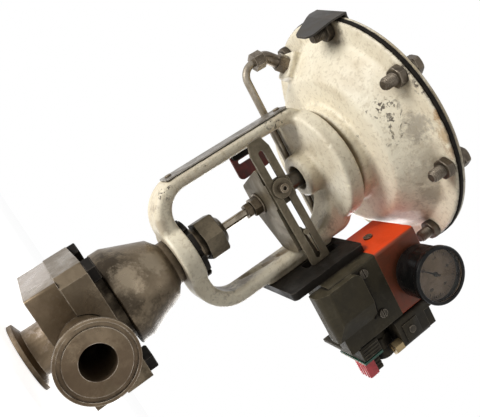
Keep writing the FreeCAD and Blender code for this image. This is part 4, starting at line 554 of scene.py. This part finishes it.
def cast_copy(node, name, body, voxel, rounds):
    """The same casting with blended corners: remeshed finely, then relaxed."""
    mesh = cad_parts[node].data.copy()
    piece = bpy.data.objects.new(name, mesh)
    bpy.context.collection.objects.link(piece)
    weld = piece.modifiers.new("weld", "WELD")
    weld.merge_threshold = SAME_POINT
    remesh = piece.modifiers.new("remesh", "REMESH")
    remesh.mode = "VOXEL"
    remesh.voxel_size = voxel
    relax = piece.modifiers.new("relax", "SMOOTH")
    relax.factor = 0.5
    relax.iterations = rounds
    evaluated = piece.evaluated_get(bpy.context.evaluated_depsgraph_get())
    piece.data = bpy.data.meshes.new_from_object(evaluated)
    piece.modifiers.clear()
    piece.data.shade_smooth()
    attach(piece, body)
    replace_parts(piece, node)
    return piece


def push_out(piece, lift):
    """Move every point of the surface out by what lift says for its place."""
    mesh = piece.data
    normals = [normal.vector.copy() for normal in mesh.vertex_normals]
    moved = []
    for vertex, normal in zip(mesh.vertices, normals):
        moved.extend(vertex.co + normal * lift(vertex.co))
    mesh.vertices.foreach_set("co", moved)
    mesh.update()


def rough_cast(piece, swell):
    """Leave the sand mould's unevenness in the surface."""
    def lift(place):
        return (noise.noise(place * 90) + 0.5 * noise.noise(place * 260) - 1.0) * swell
    push_out(piece, lift)


def press_hollow(piece, centre, along, half_length, half_width, depth):
    """Sink one oval hollow into the surface round a point."""
    along = along.normalized()

    def lift(place):
        offset = place - centre
        run = offset.dot(along)
        side = (offset - along * run).length
        away = math.hypot(run / half_length, side / half_width)
        return -depth * (1 - away * away) ** 2 if away < 1 else 0.0
    push_out(piece, lift)


def finish_surface(piece, material):
    piece.data.materials.clear()
    piece.data.materials.append(material)


def cream_finish(name, shift, stains_and_painted_light=(), nicked=()):
    """Thick cream paint over iron: yellowed clouds, brown smears, stains and patches of painted
    shade, painted shade in corners and hollows, nicks and chips.
    """
    material, tree, shader = new_finish(name, gloss=0.35)
    clouds = use_group(tree, "clouds", Scale=13.0, Shift=shift, Low=0.42, High=0.78)
    base = blend_colours(tree, clouds, CREAM, CREAM_AGED)
    smear = use_group(tree, "clouds", Scale=42.0, Shift=shift + 1.7, Low=0.55, High=0.8)
    base = tint(tree, base, smear, 0.4, (0.4, 0.32, 0.21))
    base = add_stains_and_painted_light(tree, base, stains_and_painted_light)
    # Painted shade in corners and hollows.
    corner = use_group(tree, "painted_corner_shade", Reach=14 * mm, Amount=1.0, Scale=75.0)
    base = tint(tree, base, corner, 0.75, CREAM_CORNER_SHADE)
    skin = use_group(tree, "cast_skin", Grain=700.0, Dents=110.0)
    pored = use_group(tree, "clouds", Scale=330.0, Shift=shift + 4.0, Low=0.52, High=0.62)
    base = tint(tree, base, pored, 0.32, (0.42, 0.33, 0.2))
    nicks = use_group(tree, "clouds", Scale=300.0, Shift=shift + 6.0, Low=0.64, High=0.68)
    speckled = use_group(tree, "clouds", Scale=55.0, Shift=shift + 2.0, Low=0.52, High=0.66)
    flecks = maths(tree, "MULTIPLY", maths(tree, "MULTIPLY", nicks, speckled), 0.85)
    cuts = use_group(tree, "clouds", Scale=230.0, Shift=shift + 9.0, Low=0.56, High=0.6)
    for spot, reach in nicked:
        near = use_group(tree, "ragged_spot", Place=Vector(spot) * mm, Reach=reach * mm, Ragged=0.5)
        flecks = maths(tree, "MAXIMUM", flecks, maths(tree, "MULTIPLY", near, cuts))
    edge_mask = use_group(tree, "edge_wear_and_highlight", Reach=2.2 * mm, Broken=85.0, Amount=1.0)
    chip = maths(tree, "MAXIMUM", between(tree, edge_mask, 0.5, 0.62), flecks)
    base = tint(tree, base, chip, 0.9, CHIPPED)
    feed(tree, shader.inputs["Base Color"], base)
    dull_patches(tree, shader, clouds, corner, 0.36, 0.2)
    sunk = maths(tree, "MULTIPLY", chip, 0.6)
    bump(tree, shader, maths(tree, "SUBTRACT", skin, sunk), 0.6 * mm)
    return material


yoke = cast_copy("yoke", "yoke_casting", "frame", voxel=1.15 * mm, rounds=5)
rough_cast(yoke, swell=0.1 * mm)
ARM_FACE = 43.7
HOLLOW_LEAN = Vector((0, -0.35, 1))
HOLLOWS = [(2.5, 170, 21, 4.4, 2.6), (-1.5, 196, 9, 4.0, 2.4)]
for y, z, half_length, half_width, depth in HOLLOWS:
    press_hollow(yoke, Vector((ARM_FACE, y, z)) * mm, HOLLOW_LEAN,
                 half_length * mm, half_width * mm, depth * mm)
BLOW_HOLES = [(-20.9, 19.4, 251.5), (-36.5, -10.4, 251.4), (13.7, -43.7, 251.5),
              (-20, -43.1, 252.8), (26, -30, 251.6), (-54.5, -13, 247)]
for place in BLOW_HOLES:
    press_hollow(yoke, Vector(place) * mm, Vector((1, 0, 0)),
                 half_length=2.4 * mm, half_width=2.0 * mm, depth=0.9 * mm)
yoke_paint = cream_finish("yoke_paint", 0.0, stains_and_painted_light=(
    ((43.7, 1, 160), 13, 0.75, (0.2, 0.14, 0.08)),
    ((43.7, 3, 186), 12, 0.75, (0.22, 0.15, 0.085)),
    ((43.7, -1, 198), 9, 0.7, (0.22, 0.15, 0.085)),
    # Painted shadow: the patch in the window's top +X corner.
    ((38, -11, 236), 11, 0.6, (0.2, 0.14, 0.085)),
    ((37, 0, 136), 16, 0.9, (0.12, 0.08, 0.045)),
    ((-38, -4, 133), 12, 0.8, (0.2, 0.14, 0.08)),
    ((8, -17, 243), 13, 0.4, (0.3, 0.22, 0.13)),
    # Painted shadow: the patch in the window's top -X corner.
    ((-43.7, 0, 236), 14, 0.7, (0.16, 0.11, 0.07)),
    ((-30, -14, 121), 9, 0.5, (0.35, 0.27, 0.18))), nicked=(
    ((-52, -14, 240), 14), ((-50, -14, 136), 10)))
finish_surface(yoke, yoke_paint)

# Yoke lock nut: a slotted round nut of blackened steel. It is screwed on the bonnet's
# thread and holds the yoke down on the collar.
paint("yoke_lock_nut", black_steel)
crisp("yoke_lock_nut", 0.3 * mm)

# Name strip: bare rolled metal on the -X arm's outer face, left blank and held by two
# small screws with round heads.
strip_metal = steel_finish(
    "strip_metal", ((0.13, 0.115, 0.095), (0.29, 0.26, 0.22), (0.6, 0.56, 0.5)),
    rough=(0.3, 0.5), corner_shade=0.8, relief=cast_relief(0.05 * mm), metallic=0.8,
    cloud=70.0)
paint("name_strip", strip_metal)
crisp("name_strip", 0.2 * mm)
paint("strip_screws", turned_steel)

# Travel indicator: a black steel bracket screwed to the back of the -X arm, and a thin
# dark red scale behind it, punched with a slot.
paint("indicator_bracket", black_steel)
crisp("indicator_bracket", 0.3 * mm)
material, tree, shader = new_finish("red_plate", gloss=0.4, rough=0.42)
clouds = use_group(tree, "clouds", Scale=80.0, Low=0.35, High=0.7)
base = blend_colours(tree, clouds, (0.2, 0.022, 0.016), (0.075, 0.02, 0.014))
base = wear_and_highlight_edges(tree, base, (0.36, 0.25, 0.2), reach=0.8, broken=120.0, amount=0.9)
feed(tree, shader.inputs["Base Color"], base)
bump(tree, shader, clouds, 0.06 * mm)
paint("indicator_plate", material)
paint("indicator_screws", turned_steel)

# Actuator casing: two pressed steel shells in the yoke's cream paint. The lower one
# has a lug for the air line, soft corners, rust at its rim and a sooty smudge.
lower = cast_copy("casing_lower", "casing_lower_shell", "frame", voxel=1.3 * mm, rounds=4)
rough_cast(lower, swell=0.08 * mm)
lower_paint = cream_finish("lower_paint", 9.0, stains_and_painted_light=(
    ((12, -82, 298), 16, 0.38, (0.34, 0.27, 0.19)),
    ((30, -74, 294), 14, 0.35, (0.32, 0.25, 0.175)),
    ((50, -66, 299), 15, 0.45, (0.25, 0.19, 0.13)),
    ((-6, -83, 298), 14, 0.6, (0.22, 0.18, 0.14)),
    ((4, -101.5, 304), 9, 0.65, (0.45, 0.27, 0.1)),
    ((-12, -104, 305.5), 8, 0.9, (0.45, 0.24, 0.08)),
    ((18, -101, 305), 8, 0.7, (0.4, 0.22, 0.09)),
    ((-48, -84, 303.2), 9, 0.55, (0.35, 0.28, 0.2)),
    ((-86, -34, 303), 11, 0.75, (0.16, 0.12, 0.08))), nicked=(
    ((-27, -70, 289), 12), ((-14, -74, 291), 11), ((-6, -70, 287), 9),
    ((-50, -92, 305), 12), ((-33, -98, 305.5), 11), ((-63, -45, 285), 6)))
finish_surface(lower, lower_paint)
upper_paint = cream_finish("upper_paint", 4.0, stains_and_painted_light=(
    ((-60, -82, 311), 30, 0.5, (0.42, 0.3, 0.14)),
    ((0, -102, 311), 40, 0.5, (0.42, 0.3, 0.14))))
paint("casing_upper", upper_paint)
crisp("casing_upper", 0.9 * mm)

# Rim bolts: eight hexagon bolts with cut threads, a nut on each, dull zinc darkened
# in the corners as painted shade. The heads are above and the threads point down.
BOLT_RADIUS = 4.7 * mm
THREAD_PITCH = 1.5 * mm
THREAD_DEPTH = 0.62 * mm
HEAD_HEIGHT = 5.5 * mm
HEAD_ACROSS = 14.3 * mm
BOLT_TURN = math.radians(17)
NUT_TURN = 0.3
HEXAGON_LEVELS = 6
HEXAGON_STEPS = 48
CHAMFER_START = 0.485
CHAMFER_SLOPE = 1.8
THREAD_STEPS = 28
THREAD_ROWS = 6
TAPER_START = 0.72
TAPER_TURNS = 1.6


def solids_of(node):
    """Lowest and highest corner of each separate solid in a CAD piece."""
    mesh = bmesh.new()
    mesh.from_mesh(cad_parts[node].data)
    bmesh.ops.remove_doubles(mesh, verts=mesh.verts, dist=SAME_POINT)
    waiting = set(mesh.verts)
    boxes = []
    while waiting:
        reached = [waiting.pop()]
        for vertex in reached:
            for edge in vertex.link_edges:
                other = edge.other_vert(vertex)
                if other in waiting:
                    waiting.discard(other)
                    reached.append(other)
        spots = [vertex.co for vertex in reached]
        low = Vector([min(spot[axis] for spot in spots) for axis in range(3)])
        high = Vector([max(spot[axis] for spot in spots) for axis in range(3)])
        boxes.append((low, high))
    mesh.free()
    return sorted(boxes, key=lambda box: math.atan2(box[0].y + box[1].y, box[0].x + box[1].x))


def add_rings(mesh, rings):
    """Skin between closed rings of points, with a flat cap on both ends."""
    made = [[mesh.verts.new(point) for point in ring] for ring in rings]
    for lower_ring, upper_ring in zip(made, made[1:]):
        for index, vertex in enumerate(lower_ring):
            after = (index + 1) % len(lower_ring)
            mesh.faces.new((vertex, lower_ring[after], upper_ring[after], upper_ring[index]))
    mesh.faces.new(reversed(made[0]))
    mesh.faces.new(made[-1])


def hexagon_radius(angle, across):
    sector = math.radians(60)
    return across / 2 / math.cos((angle + sector / 2) % sector - sector / 2)


def add_hexagon(mesh, x, y, across, low, high, turn, round_low=True, round_high=True):
    """Nut or bolt head whose corners are turned off in a cone at its free faces."""
    rings = []
    for level in range(HEXAGON_LEVELS + 1):
        share = level / HEXAGON_LEVELS
        z = low + (high - low) * (share * share * (3 - 2 * share))
        limit = across
        if round_high:
            limit = min(limit, across * CHAMFER_START + (high - z) * CHAMFER_SLOPE)
        if round_low:
            limit = min(limit, across * CHAMFER_START + (z - low) * CHAMFER_SLOPE)
        ring = []
        for step in range(HEXAGON_STEPS):
            angle = math.tau * step / HEXAGON_STEPS
            radius = min(hexagon_radius(angle - turn, across), limit)
            ring.append((x + radius * math.cos(angle), y + radius * math.sin(angle), z))
        rings.append(ring)
    add_rings(mesh, rings)


def add_thread(mesh, x, y, low, high, radius, pitch, depth):
    """Threaded rod: the crest winds up round the rod and the low end is tapered."""
    rows = round((high - low) / pitch * THREAD_ROWS)
    rings = []
    for row in range(rows + 1):
        z = low + (high - low) * row / rows
        taper = min(1.0, TAPER_START + (z - low) / (TAPER_TURNS * pitch) * (1 - TAPER_START))
        ring = []
        for step in range(THREAD_STEPS):
            turned = step / THREAD_STEPS
            wave = abs(((z / pitch - turned) % 1.0) * 2 - 1)
            here = (radius - depth * wave) * taper
            angle = math.tau * turned
            ring.append((x + here * math.cos(angle), y + here * math.sin(angle), z))
        rings.append(ring)
    add_rings(mesh, rings)


def new_piece(name, mesh, body, material, smooth_angle=40):
    """Object from a finished bmesh, shaded with its sharp edges kept."""
    data = bpy.data.meshes.new(name)
    bmesh.ops.recalc_face_normals(mesh, faces=mesh.faces)
    mesh.to_mesh(data)
    mesh.free()
    data.shade_smooth()
    data.set_sharp_from_angle(angle=math.radians(smooth_angle))
    data.materials.append(material)
    piece = bpy.data.objects.new(name, data)
    bpy.context.collection.objects.link(piece)
    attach(piece, body)
    return piece


bolt_steel = steel_finish(
    "bolt_steel", ((0.045, 0.032, 0.02), (0.13, 0.103, 0.072), (0.42, 0.36, 0.28)),
    rough=(0.3, 0.52), corner_shade=1.1, relief=cast_relief(0.06 * mm), metallic=0.6,
    cloud=90.0)
bolts = bmesh.new()
nuts = bmesh.new()
nut_boxes = solids_of("casing_nuts")
for index, (bolt_box, nut_box) in enumerate(zip(solids_of("casing_bolts"), nut_boxes)):
    x, y = [(bolt_box[0][axis] + bolt_box[1][axis]) / 2 for axis in range(2)]
    turn = math.atan2(y, x) + BOLT_TURN * index
    top = bolt_box[1].z
    add_thread(bolts, x, y, bolt_box[0].z, top - HEAD_HEIGHT, BOLT_RADIUS, THREAD_PITCH,
               THREAD_DEPTH)
    add_hexagon(bolts, x, y, HEAD_ACROSS, top - HEAD_HEIGHT, top, turn, round_low=False)
    add_hexagon(nuts, x, y, HEAD_ACROSS, nut_box[0].z, nut_box[1].z, turn + NUT_TURN)
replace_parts(new_piece("rim_bolts", bolts, "frame", bolt_steel, smooth_angle=25), "casing_bolts")
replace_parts(new_piece("rim_nuts", nuts, "frame", bolt_steel, smooth_angle=25), "casing_nuts")
for node in ("casing_washers", "yoke_casing_screws", "stem_top_nut"):
    paint(node, bolt_steel)
material, tree, shader = new_finish("bronze", metallic=1.0, rough=0.38)
mottled(tree, shader, (0.42, 0.27, 0.1), (0.24, 0.15, 0.07), Scale=70.0, Low=0.35, High=0.7)
bump(tree, shader, use_group(tree, "turned_rings", Pitch=2400.0), 0.05 * mm)
for node in ("stem_bushing", "shaft_bush"):
    paint(node, material)

# Diaphragm: reinforced black rubber, moulded with one fold. The rim bolts clamp its
# edge, which shows as a line between the two casings. Its plate is blackened steel.
material, tree, shader = new_finish("rubber", gloss=0.1, rough=0.7)
mottled(tree, shader, (0.005, 0.004, 0.003), (0.022, 0.018, 0.014), Scale=150.0, Low=0.3, High=0.7)
bump(tree, shader, use_group(tree, "cast_skin", Grain=1800.0, Dents=300.0), 0.1 * mm)
rubber = material
paint("diaphragm", rubber)
paint("diaphragm_plate", black_steel)

# Springs: a ring of six steel coils between the plate and the upper casing, drawn here again as a
# plain copy of the CAD piece.
coils = bpy.data.objects.new("spring_coils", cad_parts["spring"].data.copy())
bpy.context.collection.objects.link(coils)
finish_surface(coils, black_steel)
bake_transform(coils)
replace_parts(coils, "spring")

# Vent plug: a small mushroom cap of black rubber, pushed into the middle of the upper
# casing. The spring chamber breathes through it.
paint("vent_plug", rubber)
crisp("vent_plug", 0.3 * mm)

# Tag: a bent steel plate in black paint, caught under one rim bolt and turned down
# outside the rim. Its face is left blank.
material, tree, shader = new_finish("tag_black", metallic=0.2, gloss=0.35)
clouds = use_group(tree, "clouds", Scale=60.0, Low=0.35, High=0.7)
base = blend_colours(tree, clouds, (0.028, 0.024, 0.02), (0.075, 0.062, 0.05))
base = wear_and_highlight_edges(tree, base, (0.22, 0.19, 0.15), reach=1.0, broken=90.0, amount=0.8)
feed(tree, shader.inputs["Base Color"], base)
feed(tree, shader.inputs["Roughness"], uneven(tree, clouds, 0.42, 0.25))
bump(tree, shader, use_group(tree, "cast_skin", Grain=1100.0, Dents=130.0), 0.2 * mm)
paint("tag_plate", material)
crisp("tag_plate", 0.3 * mm)

# Air line: an elbow on the lower casing, a bent steel tube behind the yoke, and a
# straight fitting on the positioner.
fitting_steel = steel_finish(
    "fitting_steel", ((0.08, 0.06, 0.042), (0.24, 0.2, 0.155), (0.6, 0.53, 0.44)),
    rough=(0.22, 0.42), corner_shade=0.9, relief=cast_relief(0.08 * mm), metallic=0.85,
    cloud=75.0, shift=8.0)
for node in ("air_elbow", "rear_fitting"):
    paint(node, fitting_steel)
    crisp(node, 0.4 * mm)
tube_steel = steel_finish(
    "tube_steel", ((0.17, 0.14, 0.105), (0.36, 0.315, 0.25), (0.6, 0.55, 0.48)),
    rough=(0.28, 0.46), corner_shade=0.8, relief=cast_relief(0.04 * mm), metallic=0.85,
    cloud=40.0)
paint("air_tube", tube_steel)

# Positioner mounting: a thick black steel plate on the +X arm's pad, with a window for
# the lever, held by two socket screws.
paint("mounting_plate", black_steel)
crisp("mounting_plate", 0.6 * mm)
paint("mounting_screws", bolt_steel)

# Positioner housing: a pressure die casting in orange paint. Its faces turned to -Y are
# darkened to brown as painted shade, and its corners too; the side towards the stem keeps the
# bright orange.
material, tree, shader = new_finish("orange_paint", gloss=0.3)
clouds = use_group(tree, "clouds", Scale=32.0, Shift=2.0, Low=0.4, High=0.75)
base = blend_colours(tree, clouds, (0.78, 0.062, 0.006), (0.62, 0.05, 0.008))
facing = add_node(tree, "ShaderNodeSeparateXYZ")
feed(tree, facing.inputs[0], add_node(tree, "ShaderNodeTexCoord").outputs["Normal"])
# Painted shade: faces turned to -Y go brown, by an amount that varies in clouds.
front = between(tree, maths(tree, "MULTIPLY", facing.outputs["Y"], -1.0), 0.5, 0.9)
front_shade_clouds = use_group(tree, "clouds", Scale=60.0, Shift=5.0, Low=0.3, High=0.7)
front_shade = maths(tree, "MULTIPLY", front, uneven(tree, front_shade_clouds, 0.84, 0.14))
base = blend_colours(tree, front_shade, base, (0.14, 0.05, 0.026))
# Painted shade in corners and hollows.
corner = use_group(tree, "painted_corner_shade", Reach=9 * mm, Amount=1.0, Scale=120.0)
base = tint(tree, base, corner, 0.7, (0.06, 0.025, 0.012))
base = wear_and_highlight_edges(tree, base, (0.72, 0.2, 0.08), reach=0.9, broken=140.0, amount=0.6)
feed(tree, shader.inputs["Base Color"], base)
feed(tree, shader.inputs["Roughness"], uneven(tree, clouds, 0.38, 0.2))
bump(tree, shader, use_group(tree, "cast_skin", Grain=1500.0, Dents=200.0), 0.12 * mm)
paint("positioner_housing", material)
crisp("positioner_housing", 0.6 * mm)
paint("housing_screw", turned_steel)
crisp("housing_screw", 0.2 * mm)


# Positioner cover: a dark olive moulding with a raised dome, held by two slotted screws.
# A black bead along the dome's upper end is painted shade standing in for the groove there.
def dark_finish(name, dark, light, shift=0.0):
    """Dark moulding: dusty film, lighter edges that are partly rubbed wear and partly painted
    highlight, painted shade in corners, fine orange-peel skin.
    """
    material, tree, shader = new_finish(name, gloss=0.16)
    clouds = use_group(tree, "clouds", Scale=34.0, Shift=shift, Low=0.35, High=0.7)
    base = blend_colours(tree, clouds, dark, light)
    dust = use_group(tree, "clouds", Scale=160.0, Shift=shift + 2.0, Low=0.5, High=0.75)
    base = tint(tree, base, dust, 0.25, (0.13, 0.115, 0.085))
    # Lighter edges: partly rubbed wear, partly painted highlight.
    base = wear_and_highlight_edges(tree, base, (0.17, 0.145, 0.1), reach=1.2, broken=100.0, amount=0.75)
    # Painted shade in corners and hollows, nearly black.
    corner = use_group(tree, "painted_corner_shade", Reach=9 * mm, Amount=1.6, Scale=120.0)
    base = tint(tree, base, corner, 0.95, (0.004, 0.003, 0.002))
    feed(tree, shader.inputs["Base Color"], base)
    feed(tree, shader.inputs["Roughness"], uneven(tree, clouds, 0.45, 0.2))
    bump(tree, shader, use_group(tree, "cast_skin", Grain=1700.0, Dents=260.0), 0.16 * mm)
    return material


olive = dark_finish("olive_cover", (0.032, 0.026, 0.015), (0.062, 0.051, 0.031))
paint("positioner_cover", olive)
crisp("positioner_cover", 0.8 * mm)
screw_steel = steel_finish(
    "screw_steel", ((0.03, 0.025, 0.018), (0.075, 0.062, 0.045), (0.34, 0.29, 0.23)),
    rough=(0.34, 0.52), corner_shade=1.2, relief=cast_relief(0.06 * mm), metallic=0.5,
    cloud=70.0, gloss=0.3)
paint("cover_screws", screw_steel)
crisp("cover_screws", 0.2 * mm)


def add_bead(name, points, radius, body, material):
    """Round bead laid along a smooth line through points."""
    curve = bpy.data.curves.new(name, "CURVE")
    curve.dimensions = "3D"
    curve.bevel_depth = radius
    curve.bevel_resolution = 3
    curve.use_fill_caps = True
    line = curve.splines.new("NURBS")
    line.points.add(len(points) - 1)
    for point, place in zip(line.points, points):
        point.co = (*(Vector(place) * mm), 1)
    line.order_u = 3
    line.use_endpoint_u = True
    curve.materials.append(material)
    piece = bpy.data.objects.new(name, curve)
    bpy.context.collection.objects.link(piece)
    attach(piece, body)
    return piece


# Painted shade: a black bead where the dome meets the cover's flange in a shaded groove.
GROOVE_SHADE_LINE = [(66.5, -60.1, 218.4), (76, -60.1, 220.0), (92, -60.1, 220.4), (102, -60.1, 219.2),
             (105.6, -60.1, 215)]
add_bead("dome_groove_shade", GROOVE_SHADE_LINE, 0.9 * mm, "frame", rubber)

# Manifold and terminal housing on the positioner's far side, with the brass supply
# port, the gland with its cap nut, the green board and the two plugs.
charcoal = dark_finish("charcoal", (0.02, 0.016, 0.01), (0.05, 0.041, 0.026), 5.0)
for node in ("manifold_block", "terminal_block", "black_connector", "cable_gland"):
    paint(node, charcoal)
    crisp(node, 0.6 * mm)


def add_block(mesh, low, high, round_off):
    """Small moulded block with broken edges."""
    low, high = Vector(low) * mm, Vector(high) * mm
    made = bmesh.ops.create_cube(mesh, size=1.0)["verts"]
    bmesh.ops.scale(mesh, verts=made, vec=high - low)
    bmesh.ops.translate(mesh, verts=made, vec=(low + high) / 2)
    edges = list({edge for vertex in made for edge in vertex.link_edges})
    bmesh.ops.bevel(mesh, geom=edges, offset=round_off * mm, segments=2, affect="EDGES",
                    profile=0.5)


def add_row(mesh, count, pitch, low, high, round_off):
    """Row of equal blocks, each one pitch on from the last."""
    for number in range(count):
        moved = [[start + number * step for start, step in zip(corner, pitch)]
                 for corner in (low, high)]
        add_block(mesh, *moved, round_off)


GLAND_CENTRE = Vector((0, -40, 218)) * mm
CAP_ACROSS = 18.6 * mm
CAP_TURN = 0.2
cap = bmesh.new()
add_hexagon(cap, 0, 0, CAP_ACROSS, 128 * mm, 138 * mm, CAP_TURN)
add_thread(cap, 0, 0, 119 * mm, 128.2 * mm, radius=8.6 * mm, pitch=1.6 * mm, depth=0.5 * mm)
lay_down = Matrix(((0, 0, 1), (0, 1, 0), (-1, 0, 0))).to_4x4()
bmesh.ops.transform(cap, matrix=Matrix.Translation(GLAND_CENTRE) @ lay_down, verts=cap.verts)
new_piece("gland_cap_nut", cap, "frame", charcoal, smooth_angle=25)
ribs = bmesh.new()
add_row(ribs, 5, (3, 0, 0), (133.5, -50.4, 201.2), (134.8, -39.2, 208.2), 0.2)
add_row(ribs, 4, (2.6, 0, 0), (119.6, -60.4, 193.5), (120.7, -59.6, 207.5), 0.2)
add_block(ribs, (124, -60.9, 231), (139, -59.7, 246), 0.5)
new_piece("moulded_ribs", ribs, "frame", charcoal)
screw = bmesh.new()
screw_place = Matrix.Translation(Vector((131, -61.2, 238)) * mm)
facing_front = Matrix.Rotation(math.radians(90), 4, "X")
bmesh.ops.create_cone(screw, cap_ends=True, segments=32, radius1=3.4 * mm, radius2=2.9 * mm,
                      depth=1.6 * mm, matrix=screw_place @ facing_front)
new_piece("manifold_screw", screw, "frame", screw_steel)
material, tree, shader = new_finish("brass", metallic=1.0)
clouds = mottled(tree, shader, (0.32, 0.24, 0.13), (0.17, 0.125, 0.068), Scale=90.0,
                 Low=0.35, High=0.7)
feed(tree, shader.inputs["Roughness"], uneven(tree, clouds, 0.3, 0.2))
bump(tree, shader, clouds, 0.06 * mm)
brass = material
paint("brass_fitting", brass)
crisp("brass_fitting", 0.3 * mm)
material, tree, shader = new_finish("green_board", rough=0.35)
clouds = mottled(tree, shader, (0.006, 0.05, 0.03), (0.01, 0.085, 0.05), Scale=200.0,
                 Low=0.45, High=0.55)
bump(tree, shader, clouds, 0.05 * mm)
paint("terminal_board", material)
PIN_PITCH = 2.0
pads = bmesh.new()
add_row(pads, 9, (0, 3.4, 0), (130.0, -58, 190.75), (131.0, -56.8, 191.3), 0.1)
for pin in range(6):
    y, z = -38.5 + pin * PIN_PITCH, 193 + pin % 3
    add_block(pads, (131.2, y, z), (132.0, y + 1.1, z + 2), 0.15)
new_piece("board_pads", pads, "frame", brass)
material, tree, shader = new_finish("red_plastic", rough=0.35)
clouds = use_group(tree, "clouds", Scale=120.0, Low=0.4, High=0.7)
dusty = use_group(tree, "clouds", Scale=60.0, Shift=3.0, Low=0.4, High=0.6)
base = blend_colours(tree, clouds, (0.62, 0.05, 0.06), (0.42, 0.03, 0.035))
base = tint(tree, base, dusty, 0.22, (0.66, 0.24, 0.22))
feed(tree, shader.inputs["Base Color"], base)
bump(tree, shader, clouds, 0.05 * mm)
paint("red_plug", material)
crisp("red_plug", 0.4 * mm)
grips = bmesh.new()
add_row(grips, 3, (0, 3.6, 0), (133.5, -54.2, 191.25), (145.2, -52.6, 191.9), 0.25)
new_piece("plug_grips", grips, "frame", material)

# Pressure gauge: a gloss black case with a rolled bezel, a dial behind glass and a black pointer.
# The dial is painted dark brown as painted shade, with darker specks. It has generic numbers and
# ticks printed in black.
material, tree, shader = new_finish("gauge_black", gloss=0.16)
clouds = use_group(tree, "clouds", Scale=60.0, Low=0.4, High=0.75)
base = blend_colours(tree, clouds, (0.003, 0.003, 0.003), (0.01, 0.009, 0.008))
base = wear_and_highlight_edges(tree, base, (0.07, 0.065, 0.06), reach=0.8, broken=120.0, amount=0.4)
feed(tree, shader.inputs["Base Color"], base)
feed(tree, shader.inputs["Roughness"], uneven(tree, clouds, 0.22, 0.2))
bump(tree, shader, use_group(tree, "cast_skin", Grain=1500.0, Dents=220.0), 0.05 * mm)
gauge_black = material
for node in ("gauge_case", "gauge_bezel", "gauge_pointer"):
    paint(node, gauge_black)
crisp("gauge_bezel", 0.3 * mm)
material, tree, shader = new_finish("dial_enamel", gloss=0.3, rough=0.5)
clouds = use_group(tree, "clouds", Scale=85.0, Low=0.35, High=0.7)
specks = use_group(tree, "clouds", Scale=240.0, Shift=1.0, Low=0.5, High=0.7)
# Painted shade: the dial's dark brown tones.
base = blend_colours(tree, clouds, (0.15, 0.112, 0.078), (0.09, 0.064, 0.043))
feed(tree, shader.inputs["Base Color"], tint(tree, base, specks, 0.4, (0.055, 0.037, 0.026)))
bump(tree, shader, clouds, 0.03 * mm)
paint("gauge_dial", material)
DIAL_CENTRE = Vector((93, -82.75, 262)) * mm
DIAL_START = math.radians(225)
SWEEP = math.radians(270)
TICKS = 41
TICKS_PER_STEP = 5
TICK_OUTER = 17.6 * mm
TICK_HEIGHT = 0.12 * mm
LONG_TICK = (14.6 * mm, 0.52 * mm)
SHORT_TICK = (15.8 * mm, 0.28 * mm)
NUMBERS = 5
NUMBER_RADIUS = 11.6 * mm
marks = bmesh.new()
for tick in range(TICKS):
    inner, width = SHORT_TICK if tick % TICKS_PER_STEP else LONG_TICK
    angle = DIAL_START - SWEEP * tick / (TICKS - 1)
    made = bmesh.ops.create_cube(marks, size=1.0)["verts"]
    bmesh.ops.scale(marks, verts=made, vec=(TICK_OUTER - inner, TICK_HEIGHT, width))
    bmesh.ops.translate(marks, verts=made, vec=((TICK_OUTER + inner) / 2, 0, 0))
    bmesh.ops.rotate(marks, verts=made, matrix=Matrix.Rotation(-angle, 3, "Y"))
    bmesh.ops.translate(marks, verts=made, vec=DIAL_CENTRE)
new_piece("dial_ticks", marks, "frame", gauge_black)
for index in range(NUMBERS):
    angle = DIAL_START - SWEEP * index / (NUMBERS - 1)
    curve = bpy.data.curves.new(f"dial_number_{index}", "FONT")
    curve.body = str(index * 2)
    curve.size = 4.4 * mm
    curve.align_x = "CENTER"
    curve.align_y = "CENTER"
    curve.extrude = 0.05 * mm
    curve.materials.append(gauge_black)
    number = bpy.data.objects.new(f"dial_number_{index}", curve)
    number.rotation_euler = (math.radians(90), 0, 0)
    place = Vector((math.cos(angle), 0, math.sin(angle))) * NUMBER_RADIUS
    number.location = DIAL_CENTRE + place
    bpy.context.collection.objects.link(number)
    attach(number, "frame")
material, tree, shader = new_finish("gauge_window")
shader.inputs["Transmission Weight"].default_value = 1.0
shader.inputs["IOR"].default_value = 1.25
smear = use_group(tree, "clouds", Scale=60.0, Low=0.4, High=0.8)
feed(tree, shader.inputs["Roughness"], maths(tree, "MULTIPLY", smear, 0.1))
feed(tree, shader.inputs["Base Color"],
     blend_colours(tree, smear, (0.93, 0.9, 0.86), (0.72, 0.66, 0.57)))
paint("gauge_glass", material)

# Stem fittings in the yoke's window, all worn steel: lock nuts, washer, connector plate,
# the slotted plate with its clamp, the lever behind it and the actuator stem.
for node, finish in (("stem_lock_nuts", turned_steel), ("stem_washer", turned_steel),
                     ("clamp_disc", nut_steel), ("clamp_screw", turned_steel)):
    paint(node, finish)
    crisp(node, 0.3 * mm)
stem_dark = steel_finish(
    "stem_dark", ((0.03, 0.024, 0.017), (0.1, 0.083, 0.06), (0.35, 0.3, 0.24)),
    rough=(0.28, 0.5), corner_shade=0.9, relief=ring_relief(0.08 * mm, Pitch=1500.0), metallic=0.7,
    cloud=45.0)
paint("actuator_stem", stem_dark)
plate_steel = steel_finish(
    "plate_steel", ((0.085, 0.068, 0.043), (0.185, 0.152, 0.1), (0.44, 0.38, 0.28)),
    rough=(0.4, 0.6), corner_shade=1.0, relief=cast_relief(0.1 * mm), metallic=0.4,
    cloud=42.0, shift=3.0, gloss=0.3)
for node in ("connector_plate", "slotted_plate", "feedback_lever"):
    paint(node, plate_steel)
    crisp(node, 0.4 * mm)
